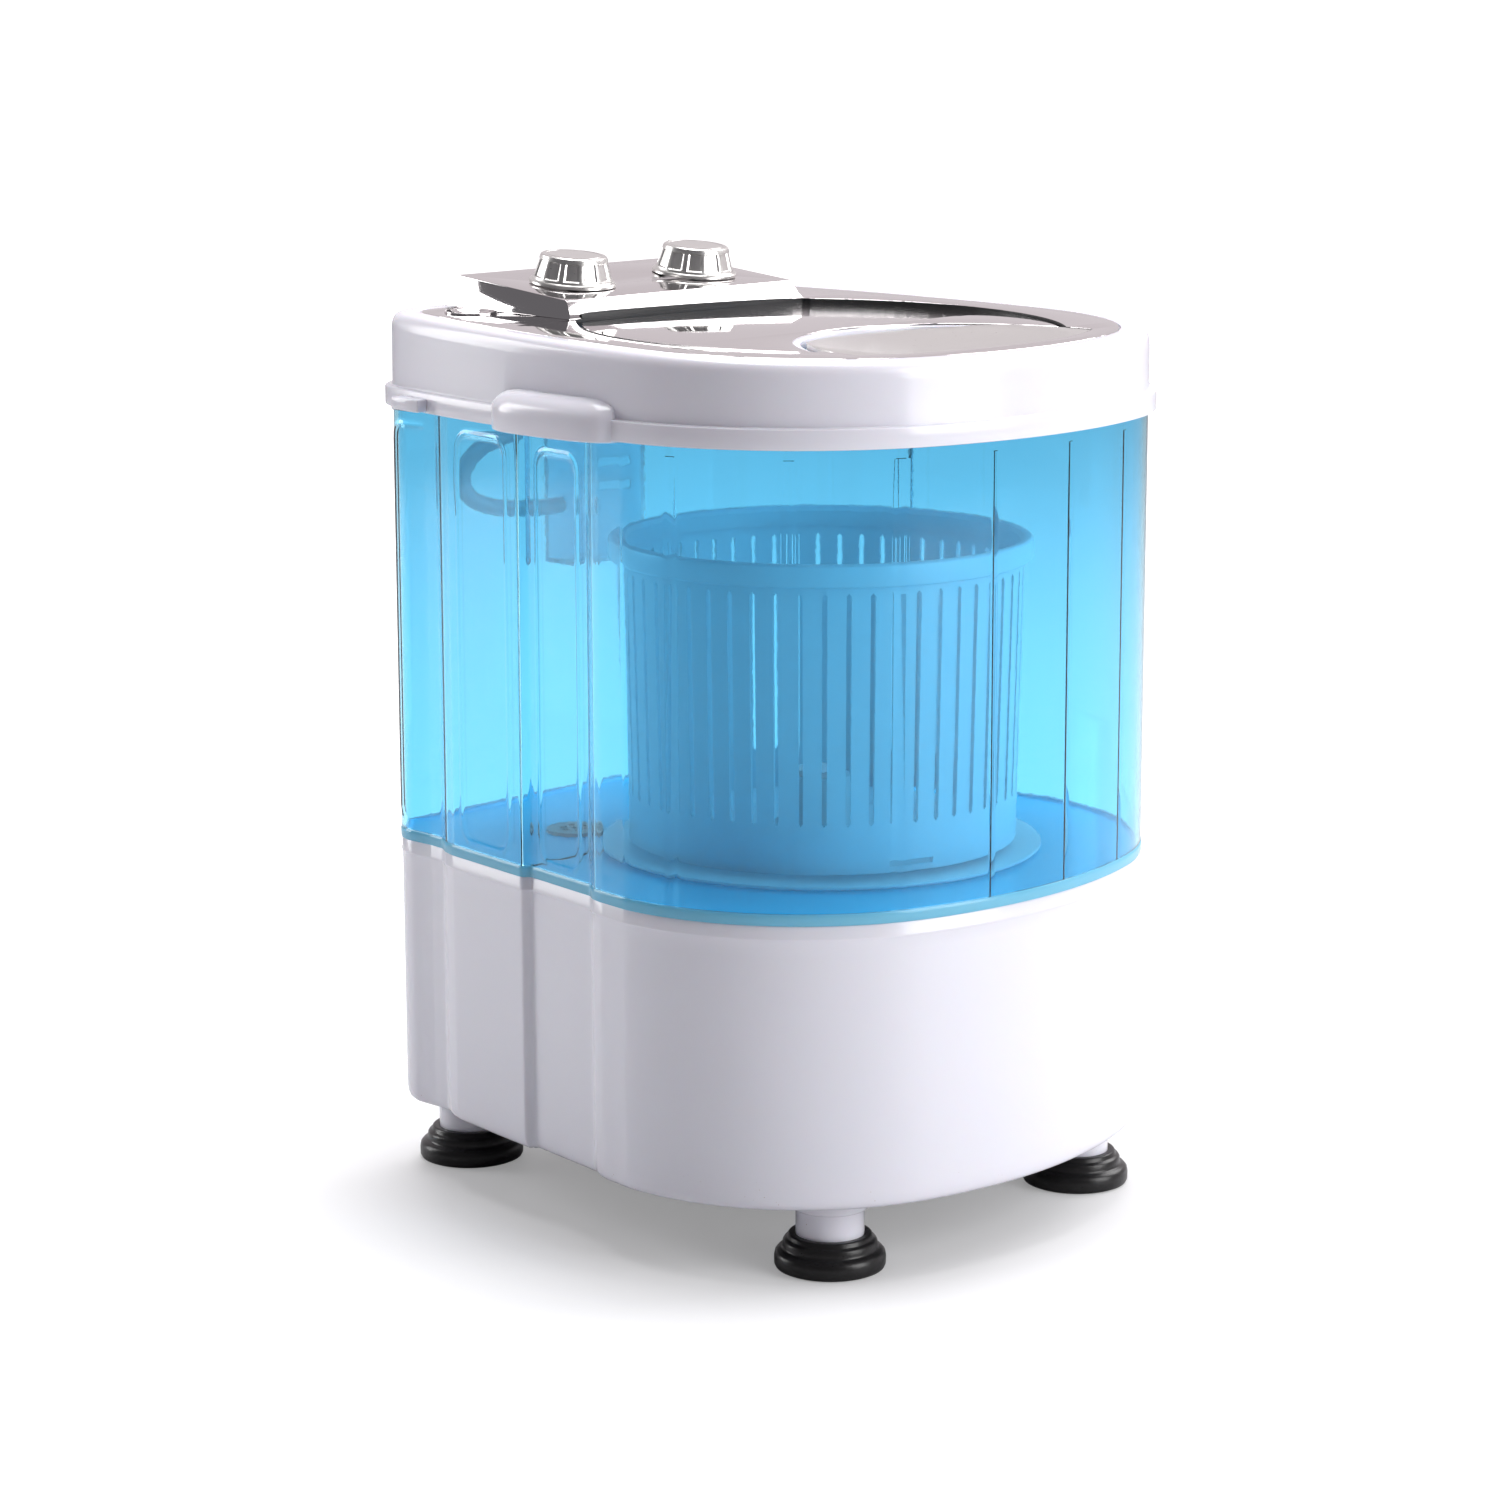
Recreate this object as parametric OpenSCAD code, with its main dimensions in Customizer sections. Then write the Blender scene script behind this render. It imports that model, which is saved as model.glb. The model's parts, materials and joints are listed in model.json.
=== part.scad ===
// Portable top load washing machine: translucent tub on a white motor base,
// white deck with a mirror panel, a round lid, two timer knobs and a spin basket.

/* [Overall] */
// Depth over the band of the deck, front to back
deck_depth = 381; // [378:1:384]
// Half width of the deck's band at its widest point
deck_half_w = 180.5; // [179:0.5:182]
// Height of the seam between base and tub
seam_z = 195; // [193:1:197]
// Height of the underside of the deck's band
band_z = 442.7; // [440:0.1:445]
// Height of the mirror panel over the basket's axis
deck_z = 489.5; // [488:0.5:491]
// Slope of the deck, rising to the back
deck_tilt = 1.25; // [1:0.05:1.5]
// Distance of the basket's axis from the middle, towards the front
axis_back = -22; // [-23:1:-21]

/* [Tub and base] */
// Height of the base's underside
base_z = 40; // [38:1:42]
// Wall of the base
base_wall = 3; // [2.5:0.1:3.4]
// Wall of the tub
tub_wall = 2.6; // [2.4:0.1:3]
// Height of the tub's upper edge
tub_top_z = 450; // [449:0.5:450.5]
// Thickness of the tub's floor
tub_floor = 4; // [3.5:0.5:4]

/* [Basket] */
// Outer radius of the basket's rim
rim_r = 116.7; // [115:0.1:118]
// Outer radius of the basket's wall at the top
basket_r_top = 112; // [111:0.5:113]
// Outer radius of the basket's wall at the bottom
basket_r_bottom = 108.5; // [107:0.5:109]
// Height of the basket's underside
basket_z = 205; // [205:1:205]
// Height of the basket's rim edge
basket_top_z = 374; // [370:1:378]
// Number of slots round the wall, even
slot_count = 54; // [44:2:58]
// Width of a slot
slot_w = 2.8; // [2:0.1:3.2]

/* [Panel and lid] */
// Inset of the mirror panel from the band
panel_inset = 21; // [20:0.5:22]
// Radius of the lid about the basket's axis
lid_r = 131; // [129:0.5:132]
// Gap round the lid
lid_gap = 3; // [2.5:0.1:3.2]
// Radius of the finger dish
dish_r = 96; // [94:0.5:98]
// Distance of the dish's centre from the middle, towards the front
dish_y = -141; // [-142:0.5:-140]

/* [Console and knobs] */
// Half width of the console's top
console_half_w = 90; // [88:0.5:90.5]
// Height of the console's front edge over the panel
console_front_h = 10; // [9.5:0.5:11]
// Height of the console's back edge over the panel
console_back_h = 17.3; // [16.5:0.1:18]
// Distance of each knob from the middle
knob_x = 49; // [46:0.5:51]
// Radius of a knob at its foot
knob_r = 24.5; // [23:0.5:25]
// Radius of a knob at its top
knob_top_r = 18; // [16:0.5:19]
// Height of a knob
knob_h = 17; // [15:0.5:18]

/* [Feet] */
// Radius of a rubber pad
pad_r = 30; // [27:0.5:31]
// Height of a rubber pad
pad_h = 19; // [17:0.5:20]
// Radius of a foot's stem
stem_r = 18.5; // [17:0.5:19]

/* [Drive] */
// Distance from the drive shaft back to the motor shaft
belt_centres = 112; // [108:1:114]
// Belt radius of the drive pulley
drive_pulley_r = 56; // [54:1:58]
// Belt radius of the motor pulley
motor_pulley_r = 14; // [14:0.5:15]

/* [Hidden] */
$fn = 96;

// Outline of the deck: four arcs that run into each other
front_r = 280.5;
side_r = 748;
back_r = 42;
corner_y = -46;
front_y = front_r - deck_depth / 2;
side_x = deck_half_w - side_r;
corner_dy = front_y - corner_y;
deck_corner_r = (pow(front_r, 2) - pow(corner_dy, 2) - pow(deck_half_w, 2))
    / (2 * (front_r - deck_half_w));
back_y = deck_depth / 2 - back_r;
side_end = asin((back_y - corner_y) / (side_r - back_r));
back_x = side_x + (side_r - back_r) * cos(side_end);

// Outline of the tub and base: the same front, stepped and grooved sides
body_inset = 4.5;
body_front_r = front_r - body_inset;
body_half_w = deck_half_w - body_inset;
body_corner_r = (pow(body_front_r, 2) - pow(corner_dy, 2) - pow(body_half_w, 2))
    / (2 * (body_front_r - body_half_w));
side_steps = [
    [173, -21], [171, -14], [167, -8], [158, 46], [158, 48], [161.5, 51],
    [151, 118], [148, 127], [143, 135], [141.5, 147]
];
body_back_y = 187;
body_back_r = 26;
body_back_x = 115.5;

// Deck plate and cavity
deck_skin = 2.2;
deck_plate = 8;
band_h = 11;
lid_cut_y = 72;
lid_corner_x = sqrt(pow(lid_r, 2) - pow(lid_cut_y - axis_back, 2));
console_foot_y = 78.5;
hole_cut_y = 78.2;
hinge_y = 73;
hinge_z = -4.4;
hinge_eye_r = 2.1;
hinge_x = 62;
hinge_pin_r = 1.5;

// Console frame: its origin lies between the knobs on the sloping top
console_front_y = 85;
console_back_y = 173;
console_back_foot_y = 180;
console_skin = 2.4;
console_slope = (console_back_h - console_front_h) / (console_back_y - console_front_y);
console_tilt = atan(console_slope);
knob_y = 123;
knob_z = console_front_h + console_slope * (knob_y - console_front_y);

// Places
front_foot = [104, -124];
back_foot = [98, 164];
stem_z = pad_h - 3;
inlet = [-109, 142];
drain = [-72, 100];
socket_x = -72;
socket_z = 68;
gland_x = 70;
gland_z = 62;
motor_y = axis_back + belt_centres;
pulley_z = 104;
pulley_h = 14;
floor_z = seam_z + tub_floor;
shaft_r = 6;
bush_gap = 0.05;
notch_angle = -111;

// Route of the inlet hose, from the inlet cup down to the overflow box
inlet_route = [
    [-109, 142.5, 468.7], [-109, 142.5, 462], [-107, 144, 456], [-99, 149, 452],
    [-84, 157, 450], [-66, 163, 449], [-48, 168, 448.5], [-34, 170, 447],
    [-24, 171, 441], [-21.5, 171, 434], [-25, 171, 427], [-34, 171, 422], [-47, 171, 418.5],
    [-62, 171, 415.5], [-76, 171, 411], [-86, 171, 403], [-89, 171, 394],
    [-84, 171, 385], [-72, 171, 379], [-52, 171, 375], [-30, 171, 373], [-12.5, 171, 373]
];
hose_r = 4.8;
hose_sides = 12;
box_left = -12.5;
box_right = 43;

function arc(cx, cy, r, from, to, n) =
    [for (i = [0:n]) [cx + r * cos(from + (to - from) * i / n), cy + r * sin(from + (to - from) * i / n)]];
function flip(points) = [for (i = [len(points) - 1:-1:0]) [-points[i][0], points[i][1]]];

// Right half of the deck's outline, set in by d all round
function deck_half(d) = let (
        corner_x = deck_half_w - deck_corner_r,
        meet = atan2(corner_y - front_y, corner_x)
    ) concat(
        arc(0, front_y, front_r - d, -90, meet, 6),
        arc(corner_x, corner_y, deck_corner_r - d, meet + 5, 0, 14),
        arc(side_x, corner_y, side_r - d, 2, side_end - 1, 6),
        arc(back_x, back_y, back_r - d, side_end, 90, 8)
    );
function deck_outline(d) = concat(deck_half(d), flip(deck_half(d)));

// Right half of the tub's outline, set in by d all round
function body_half(d) = let (
        corner_x = body_half_w - body_corner_r,
        meet = atan2(corner_y - front_y, corner_x)
    ) concat(
        arc(0, front_y, body_front_r - d, -90, meet, 6),
        arc(corner_x, corner_y, body_corner_r - d, meet + 5, 0, 14),
        [for (p = side_steps) [p[0] - d, p[1]]],
        arc(body_back_x, body_back_y - body_back_r, body_back_r - d, 0, 90, 6)
    );
function body_outline(d) = concat(body_half(d), flip(body_half(d)));

// A tube swept along a list of points
function unit(v) = v / norm(v);
function heading(pts, i) = unit(pts[min(i + 1, len(pts) - 1)] - pts[max(i - 1, 0)]);
function ring_at(pts, i, r, sides) = let (
        t = heading(pts, i),
        u = unit(cross(t, [0.25, 1, 0.1])),
        v = cross(t, u)
    ) [for (k = [0:sides - 1]) pts[i] + r * cos(360 * k / sides) * u + r * sin(360 * k / sides) * v];
module swept_tube(pts, r, sides) {
    rings = len(pts);
    vertices = [for (i = [0:rings - 1]) each ring_at(pts, i, r, sides)];
    walls = [for (i = [0:rings - 2], k = [0:sides - 1]) [
        i * sides + k, i * sides + (k + 1) % sides, (i + 1) * sides + (k + 1) % sides, (i + 1) * sides + k]];
    first_cap = [[for (k = [sides - 1:-1:0]) k]];
    last_cap = [[for (k = [0:sides - 1]) (rings - 1) * sides + k]];
    polyhedron(vertices, concat(first_cap, walls, last_cap));
}

module slab(points, from, to) {
    translate([0, 0, from]) linear_extrude(to - from) polygon(points);
}
module rod(x, y, r, from, to) {
    translate([x, y, from]) cylinder(h = to - from, r = r);
}
module tube_ring(x, y, outer, inner, from, to) {
    difference() {
        rod(x, y, outer, from, to);
        rod(x, y, inner, from - 1, to + 1);
    }
}
module box(low, high) {
    translate(low) cube(high - low);
}
// Deck frame: z = 0 is the face of the mirror panel
module on_deck() {
    translate([0, axis_back, deck_z]) rotate([deck_tilt, 0, 0]) translate([0, -axis_back, 0]) children();
}
// Console frame: z = 0 is the console's sloping top, at one knob's axis
module on_console(x) {
    on_deck() translate([x, knob_y, knob_z]) rotate([console_tilt, 0, 0]) children();
}
module both_sides() {
    children();
    mirror([1, 0, 0]) children();
}

// ---- Base ----
module base_shell() {
    color("white") difference() {
        union() {
            slab(body_outline(4), base_z, base_z + 2);
            slab(body_outline(1.5), base_z + 2, base_z + 5);
            slab(body_outline(0.5), base_z + 5, seam_z - 8);
            slab(body_outline(0), seam_z - 8, seam_z);
        }
        slab(body_outline(base_wall + 4), base_z - 1, base_z + 3);
        slab(body_outline(base_wall + 11), base_z + 2, base_z + 7);
        slab(body_outline(base_wall + 1), base_z + 6, seam_z + 1);
        translate([socket_x, body_back_y, socket_z]) rotate([90, 0, 0]) cylinder(h = 20, r = 15.2, center = true);
        translate([gland_x, body_back_y, gland_z]) rotate([90, 0, 0]) cylinder(h = 20, r = 8.2, center = true);
    }
}
module base_plate() {
    color("gainsboro") difference() {
        slab(body_outline(base_wall + 4.4), base_z, base_z + 3);
        for (x = [-60:20:60]) box([x - 3, -60, base_z - 1], [x + 3, 10, base_z + 4]);
    }
}
module foot_stem(place) {
    color("white") union() {
        rod(place[0], place[1], stem_r, stem_z, base_z - 7);
        rod(place[0], place[1], stem_r + 2.5, base_z - 7, base_z);
    }
}
module foot_pad(place) {
    color("black") difference() {
        union() {
            rod(place[0], place[1], pad_r - 2, 0, 4);
            rod(place[0], place[1], pad_r, 4, pad_h - 8);
            rod(place[0], place[1], pad_r - 4, pad_h - 8, pad_h - 3);
            rod(place[0], place[1], pad_r - 6, pad_h - 3, pad_h);
        }
        rod(place[0], place[1], stem_r + 0.02, stem_z, pad_h + 1);
        rod(place[0], place[1], pad_r - 8, -1, 2);
    }
}
module front_left_foot_stem() { foot_stem([-front_foot[0], front_foot[1]]); }
module front_right_foot_stem() { foot_stem(front_foot); }
module back_left_foot_stem() { foot_stem([-back_foot[0], back_foot[1]]); }
module back_right_foot_stem() { foot_stem(back_foot); }
module front_left_foot_pad() { foot_pad([-front_foot[0], front_foot[1]]); }
module front_right_foot_pad() { foot_pad(front_foot); }
module back_left_foot_pad() { foot_pad([-back_foot[0], back_foot[1]]); }
module back_right_foot_pad() { foot_pad(back_foot); }
module base_plate_screws() {
    color("silver") both_sides() for (p = [[140, -60], [60, -150], [120, 95], [30, 160]])
        rod(p[0], p[1], 3.5, base_z - 1.8, base_z);
}

// ---- Tub ----
module tub() {
    color("deepskyblue", 0.5) difference() {
        slab(body_outline(0), seam_z, tub_top_z);
        slab(body_outline(tub_wall), floor_z, tub_top_z + 1);
        rod(0, axis_back, 22, seam_z - 1, floor_z + 1);
        rod(drain[0], drain[1], 13, seam_z - 1, floor_z + 1);
    }
}
module tub_gasket() {
    color("dimgray") difference() {
        slab(body_outline(base_wall + 1.4), seam_z - 6, seam_z);
        slab(body_outline(base_wall + 5), seam_z - 7, seam_z + 1);
    }
}
module overflow_box() {
    color("steelblue", 0.6) difference() {
        box([box_left, 160, 338], [box_right, body_back_y - tub_wall, 441]);
        box([box_left + 2, 162, 341], [box_right - 2, body_back_y - tub_wall - 2, 442]);
        for (z = [380:14:422]) box([box_left + 12, 158, z], [box_right - 12, 163, z + 5]);
    }
}
module inlet_cup() {
    color("silver") on_deck() difference() {
        union() {
            rod(inlet[0], inlet[1], 14.5, -0.2, 0.8);
            rod(inlet[0], inlet[1], 13.6, -16, -0.2);
            rod(inlet[0], inlet[1], 8, -24, -16);
        }
        translate([inlet[0], inlet[1], 18]) sphere(r = 22);
        rod(inlet[0], inlet[1], 5.5, -25, 2);
    }
}
module inlet_hose() {
    color("lightgray") swept_tube(inlet_route, hose_r, hose_sides);
}
module drain_strainer() {
    color("darkslategray") difference() {
        union() {
            rod(drain[0], drain[1], 16, floor_z, floor_z + 2);
            rod(drain[0], drain[1], 12.8, seam_z, floor_z);
        }
        for (a = [0:60:300]) rod(drain[0] + 7 * cos(a), drain[1] + 7 * sin(a), 2.2, seam_z - 1, floor_z + 3);
        rod(drain[0], drain[1], 2.2, seam_z - 1, floor_z + 3);
    }
}
module drain_pipe() {
    color("gray") difference() {
        union() {
            rod(drain[0], drain[1], 13, socket_z, seam_z);
            translate([drain[0], drain[1], socket_z]) sphere(r = 13);
            translate([drain[0], 166, socket_z]) rotate([90, 0, 0]) cylinder(h = 166 - drain[1], r = 13);
        }
        rod(drain[0], drain[1], 10, socket_z, seam_z + 1);
        translate([drain[0], drain[1], socket_z]) sphere(r = 10);
        translate([drain[0], 167, socket_z]) rotate([90, 0, 0]) cylinder(h = 167 - drain[1], r = 10);
    }
}
module drain_socket() {
    color("dimgray") difference() {
        union() {
            translate([socket_x, body_back_y + 1.5, socket_z]) rotate([90, 0, 0]) cylinder(h = 1.5, r = 19);
            translate([socket_x, body_back_y, socket_z]) rotate([90, 0, 0]) cylinder(h = body_back_y - 166, r = 15);
        }
        translate([socket_x, body_back_y + 3, socket_z]) rotate([90, 0, 0]) cylinder(h = 40, r = 11);
    }
}
module cord_gland() {
    color("dimgray") difference() {
        union() {
            translate([gland_x, body_back_y + 2, gland_z]) rotate([90, 0, 0]) cylinder(h = 2, r = 10.5);
            translate([gland_x, body_back_y, gland_z]) rotate([90, 0, 0]) cylinder(h = 12, r = 8);
        }
        translate([gland_x, body_back_y + 3, gland_z]) rotate([90, 0, 0]) cylinder(h = 20, r = 4);
    }
}

// ---- Deck ----
module under_deck(depth) {
    on_deck() translate([-300, -300, -200]) cube([600, 600, 200 - depth]);
}
module lid_hole(r, cut_y) {
    corner = lid_corner_x + r - lid_r;
    intersection() {
        union() {
            rod(0, axis_back, r, -20, 20);
            rod(0, dish_y, dish_r, -20, 20);
            box([-corner, 50, -20], [corner, cut_y, 20]);
        }
        slab(deck_outline(35), -20, 20);
        box([-200, -200, -20], [200, cut_y, 20]);
    }
}
module timer_bay() {
    box([-82, 92, -20], [82, 166, 20]);
}
module grip_notch() {
    box([160, -27, band_z - 1], [200, 49, 457.5]);
}
module top_cover() {
    color("white") difference() {
        union() {
            slab(deck_outline(0), band_z, band_z + band_h);
            intersection() {
                slab(deck_outline(4), band_z, deck_z + 20);
                under_deck(2.5);
            }
            intersection() {
                slab(deck_outline(6), band_z, deck_z + 20);
                under_deck(0);
            }
        }
        slab(deck_outline(2.2), band_z - 1, tub_top_z);
        intersection() {
            slab(deck_outline(7), band_z - 1, deck_z + 20);
            under_deck(deck_plate);
        }
        on_deck() {
            slab(deck_outline(panel_inset - 0.7), -deck_skin, 20);
            lid_hole(lid_r + lid_gap + 0.5, hole_cut_y);
            timer_bay();
            rod(inlet[0], inlet[1], 14, -20, 5);
        }
        both_sides() grip_notch();
    }
}
grip_path = [
    [171.2, 55], [178, 52], [184.5, 41], [187.5, 25], [189, 0], [188.5, -21], [186, -33], [180.2, -41]
];
grip_inner = [[172, 47], [178, 45], [182, 37], [185, 23], [186.2, 0], [185.8, -19], [183, -27], [175, -27]];
module grip(side) {
    color("white") mirror([side, 0, 0]) difference() {
        union() {
            slab(concat(grip_path, [[176, -41], [166, 55]]), band_z, band_z + 15);
            slab(concat([for (p = grip_path) [p[0] - 4.5, p[1] * 0.9 + 1]], [[170, -36], [160, 51]]),
                band_z + 15, band_z + 20);
        }
        slab(concat(grip_inner, [[150, -27], [150, 47]]), band_z - 1, band_z + 12);
        difference() {
            slab(deck_outline(0), band_z - 1, band_z + band_h);
            box([160, -26.8, band_z - 2], [200, 48.8, 500]);
        }
        difference() {
            slab(deck_outline(4), band_z - 1, band_z + 40);
            box([160, -26.8, band_z - 2], [200, 48.8, 457.3]);
        }
        slab(deck_outline(7.2), band_z - 1, band_z + 40);
    }
}
module left_grip() { grip(1); }
module right_grip() { grip(0); }
module hose_hook() {
    color("white") difference() {
        slab([[-150, 121], [-168.5, 121], [-165.5, 146], [-150, 146]], band_z + 1, band_z + 8);
        slab(deck_outline(0), band_z - 1, band_z + band_h + 1);
        box([-165, 124, band_z], [-162.8, 143, band_z + 6]);
    }
}
module cover_screws() {
    color("silver") both_sides() for (p = [[128, -110], [148, 20], [132, 112]])
        on_deck() rod(p[0], p[1], 4, -deck_plate - 2.5, -deck_plate);
}
module top_panel() {
    color("lightgray") on_deck() difference() {
        slab(deck_outline(panel_inset), -deck_skin, 0);
        lid_hole(lid_r + lid_gap, hole_cut_y);
        timer_bay();
        rod(inlet[0], inlet[1], 13.9, -20, -0.2);
        rod(inlet[0], inlet[1], 14.7, -0.2, 5);
    }
}
module lid_well() {
    color("black") on_deck() difference() {
        union() {
            rod(0, axis_back, lid_r + 9, -deck_plate - 3, -deck_plate);
            rod(0, axis_back, lid_r + lid_gap - 0.3, -deck_plate, -5);
        }
        rod(0, axis_back, lid_r - 8, -20, 5);
        rod(0, dish_y, dish_r + 1.5, -20, 5);
        box([-200, lid_cut_y - 1, -20], [200, 200, 5]);
    }
}
module finger_dish() {
    color("silver") on_deck() difference() {
        intersection() {
            rod(0, dish_y, dish_r - 0.3, -14, -0.4);
            union() {
                slab(deck_outline(35.4), -14, 0);
                slab(deck_outline(31), -14, -deck_plate);
            }
        }
        translate([0, -108, 350]) sphere(r = 359.5, $fn = 400);
    }
}
module console_solid(inset) {
    line_y0 = console_front_y + inset * 1.4;
    line_y1 = console_back_y - inset * 1.4;
    drop = inset / cos(console_tilt);
    z0 = console_front_h + console_slope * (line_y0 - console_front_y) - drop;
    z1 = console_front_h + console_slope * (line_y1 - console_front_y) - drop;
    foot = inset > 0 ? -1 : 0;
    w = console_half_w - inset;
    intersection() {
        translate([-150, 0, 0]) rotate([90, 0, 90]) linear_extrude(300) polygon([
            [console_foot_y + inset * 1.4, foot], [line_y0, z0], [line_y1, z1], [console_back_foot_y - inset * 1.4, foot]]);
        translate([0, 300, 0]) rotate([90, 0, 0]) linear_extrude(600) polygon([
            [-w - 4.5, foot], [-w - 2.5, 3], [-w - 1, 9], [-w, 20], [w, 20], [w + 1, 9], [w + 2.5, 3], [w + 4.5, foot]]);
    }
}
module control_console() {
    color("lightgray") difference() {
        on_deck() difference() {
            console_solid(0);
            console_solid(console_skin);
        }
        for (x = [-knob_x, knob_x]) on_console(x) rod(0, 0, 4.5, -20, 5);
    }
}

// ---- Timers and knobs ----
module timer(x) {
    color("ivory") on_console(x) difference() {
        union() {
            translate([-21, -20, -26]) cube([42, 40, 18]);
            rod(0, 0, 9, -8, -console_skin);
        }
        rod(0, 0, 3 + bush_gap, -27, 0);
    }
}
module timer_shaft(x) {
    color("gray") on_console(x) rod(0, 0, 3, -24, knob_h - 6);
}
module knob(x) {
    color("silver") on_console(x) difference() {
        union() {
            rod(0, 0, knob_r, 0.6, 2.4);
            translate([0, 0, 2.4]) cylinder(h = knob_h - 2.4, r1 = knob_r - 1, r2 = knob_top_r);
        }
        for (a = [0:30:330]) rotate([0, 0, a]) translate([knob_r - 1.9, 0, knob_h / 2 + 1.5])
            rotate([0, -21.5, 0]) translate([0, -4, -knob_h / 2]) cube([6, 8, knob_h - 5]);
        rod(0, 0, 3.02, -1, knob_h - 6);
        tube_ring(0, 0, knob_top_r - 2, knob_top_r - 2.8, knob_h - 0.5, knob_h + 1);
    }
}
module wash_timer() { timer(-knob_x); }
module spin_timer() { timer(knob_x); }
module wash_timer_shaft() { timer_shaft(-knob_x); }
module spin_timer_shaft() { timer_shaft(knob_x); }
module wash_knob() { knob(-knob_x); }
module spin_knob() { knob(knob_x); }

// ---- Lid ----
module lid_disc(r, from, to) {
    difference() {
        rod(0, axis_back, r, from, to);
        rod(0, dish_y, dish_r + lid_gap, from - 1, to + 1);
        box([-200, lid_cut_y, from - 1], [200, 200, to + 1]);
    }
}
module lid() {
    color("lightgray") on_deck() lid_disc(lid_r, -deck_skin, 0);
}
module lid_liner() {
    color("whitesmoke") on_deck() difference() {
        union() {
            difference() {
                lid_disc(lid_r - 11, -9, -deck_skin);
                difference() {
                    rod(0, axis_back, lid_r - 14, -10, -deck_skin - 1.6);
                    rod(0, dish_y, dish_r + lid_gap + 3, -12, 2);
                    box([-200, lid_cut_y - 8, -20], [200, 200, 5]);
                }
            }
            for (x = [-hinge_x, hinge_x]) box([x - 9, lid_cut_y - 8, -7.5], [x + 9, hinge_y + 2.6, -deck_skin]);
        }
        for (x = [-hinge_x, hinge_x]) across(x, 20, hinge_pin_r + bush_gap);
        for (x = [-hinge_x, hinge_x], s = [-1, 1])
            box([x + s * 14.4 - 5, lid_cut_y - 9, -12], [x + s * 14.4 + 5, lid_cut_y + 5, -deck_skin]);
    }
}
module across(x, half, r) {
    translate([x - half, hinge_y, hinge_z]) rotate([0, 90, 0]) cylinder(h = 2 * half, r = r);
}
module lid_hinge_brackets() {
    foot = -deck_plate - 3;
    color("white") on_deck() difference() {
        for (x = [-hinge_x, hinge_x], s = [-1, 1]) {
            across(x + s * 12, 2.2, hinge_eye_r);
            box([x + s * 12 - 2.2, hinge_y - hinge_eye_r, foot], [x + s * 12 + 2.2, hinge_y + hinge_eye_r, hinge_z]);
            box([x + s * 12 - 2.2, hinge_y - hinge_eye_r, foot], [x + s * 12 + 2.2, hinge_y + 12, -deck_plate]);
        }
        for (x = [-hinge_x, hinge_x]) across(x, 20, hinge_pin_r + 0.02);
    }
}
module lid_hinge_pins() {
    color("silver") on_deck() for (x = [-hinge_x, hinge_x]) across(x, 14, hinge_pin_r);
}

// ---- Basket and drive ----
module spin_basket() {
    slot_low = basket_z + 27;
    slot_high = basket_top_z - 14;
    color("lightblue", 0.6) translate([0, axis_back, 0]) difference() {
        union() {
            translate([0, 0, basket_z]) cylinder(h = basket_top_z - 12 - basket_z, r1 = basket_r_bottom, r2 = basket_r_top);
            rod(0, 0, rim_r, basket_top_z - 12, basket_top_z);
        }
        translate([0, 0, basket_z + 3]) cylinder(h = basket_top_z - basket_z, r1 = basket_r_bottom - 2.4, r2 = basket_r_top - 2.1);
        rod(0, 0, 27, basket_z - 1, basket_z + 5);
        for (i = [0:slot_count / 2 - 1]) rotate([0, 0, 360 * (i + 0.5) / slot_count])
            box([-rim_r - 5, -slot_w / 2, slot_low], [rim_r + 5, slot_w / 2, slot_high]);
        for (a = [0:120:240]) rotate([0, 0, notch_angle + a])
            box([basket_r_bottom - 12, -11, basket_z - 1], [basket_r_bottom + 6, 11, basket_z + 11]);
        for (i = [0:11]) rotate([0, 0, 30 * i]) rod(85, 0, 3, basket_z - 1, basket_z + 4);
    }
}
module pulsator() {
    color("aliceblue", 0.8) translate([0, axis_back, 0]) difference() {
        union() {
            rod(0, 0, 122.8, floor_z + 1, floor_z + 3.5);
            tube_ring(0, 0, 70, 60, floor_z + 3.5, basket_z);
            translate([0, 0, floor_z + 3.5]) cylinder(h = 36, r1 = 24, r2 = 17);
            for (a = [0:90:270]) rotate([0, 0, a]) box([14, -2, floor_z + 3.5], [24, 2, floor_z + 30]);
        }
        rod(0, 0, shaft_r + 0.02, floor_z, floor_z + 34);
    }
}
module pulsator_cap() {
    color("white") rod(0, axis_back, 14, floor_z + 39.5, floor_z + 43);
}
module drive_shaft() {
    color("silver") rod(0, axis_back, shaft_r, pulley_z - 4, floor_z + 33);
}
module shaft_seal() {
    color("black") tube_ring(0, axis_back, 21.7, shaft_r + bush_gap, seam_z, floor_z);
}
module bearing_housing() {
    color("dimgray") difference() {
        union() {
            rod(0, axis_back, 26, 126, seam_z - 5);
            rod(0, axis_back, 46, seam_z - 5, seam_z);
        }
        rod(0, axis_back, 16.02, 125, 139);
        rod(0, axis_back, 10, 130, seam_z + 1);
        rod(0, axis_back, 16.02, seam_z - 18, seam_z + 1);
    }
}
module upper_bearing() {
    color("silver") tube_ring(0, axis_back, 16, shaft_r + bush_gap, seam_z - 18, seam_z - 7);
}
module lower_bearing() {
    color("silver") tube_ring(0, axis_back, 16, shaft_r + bush_gap, 128, 139);
}
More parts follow.
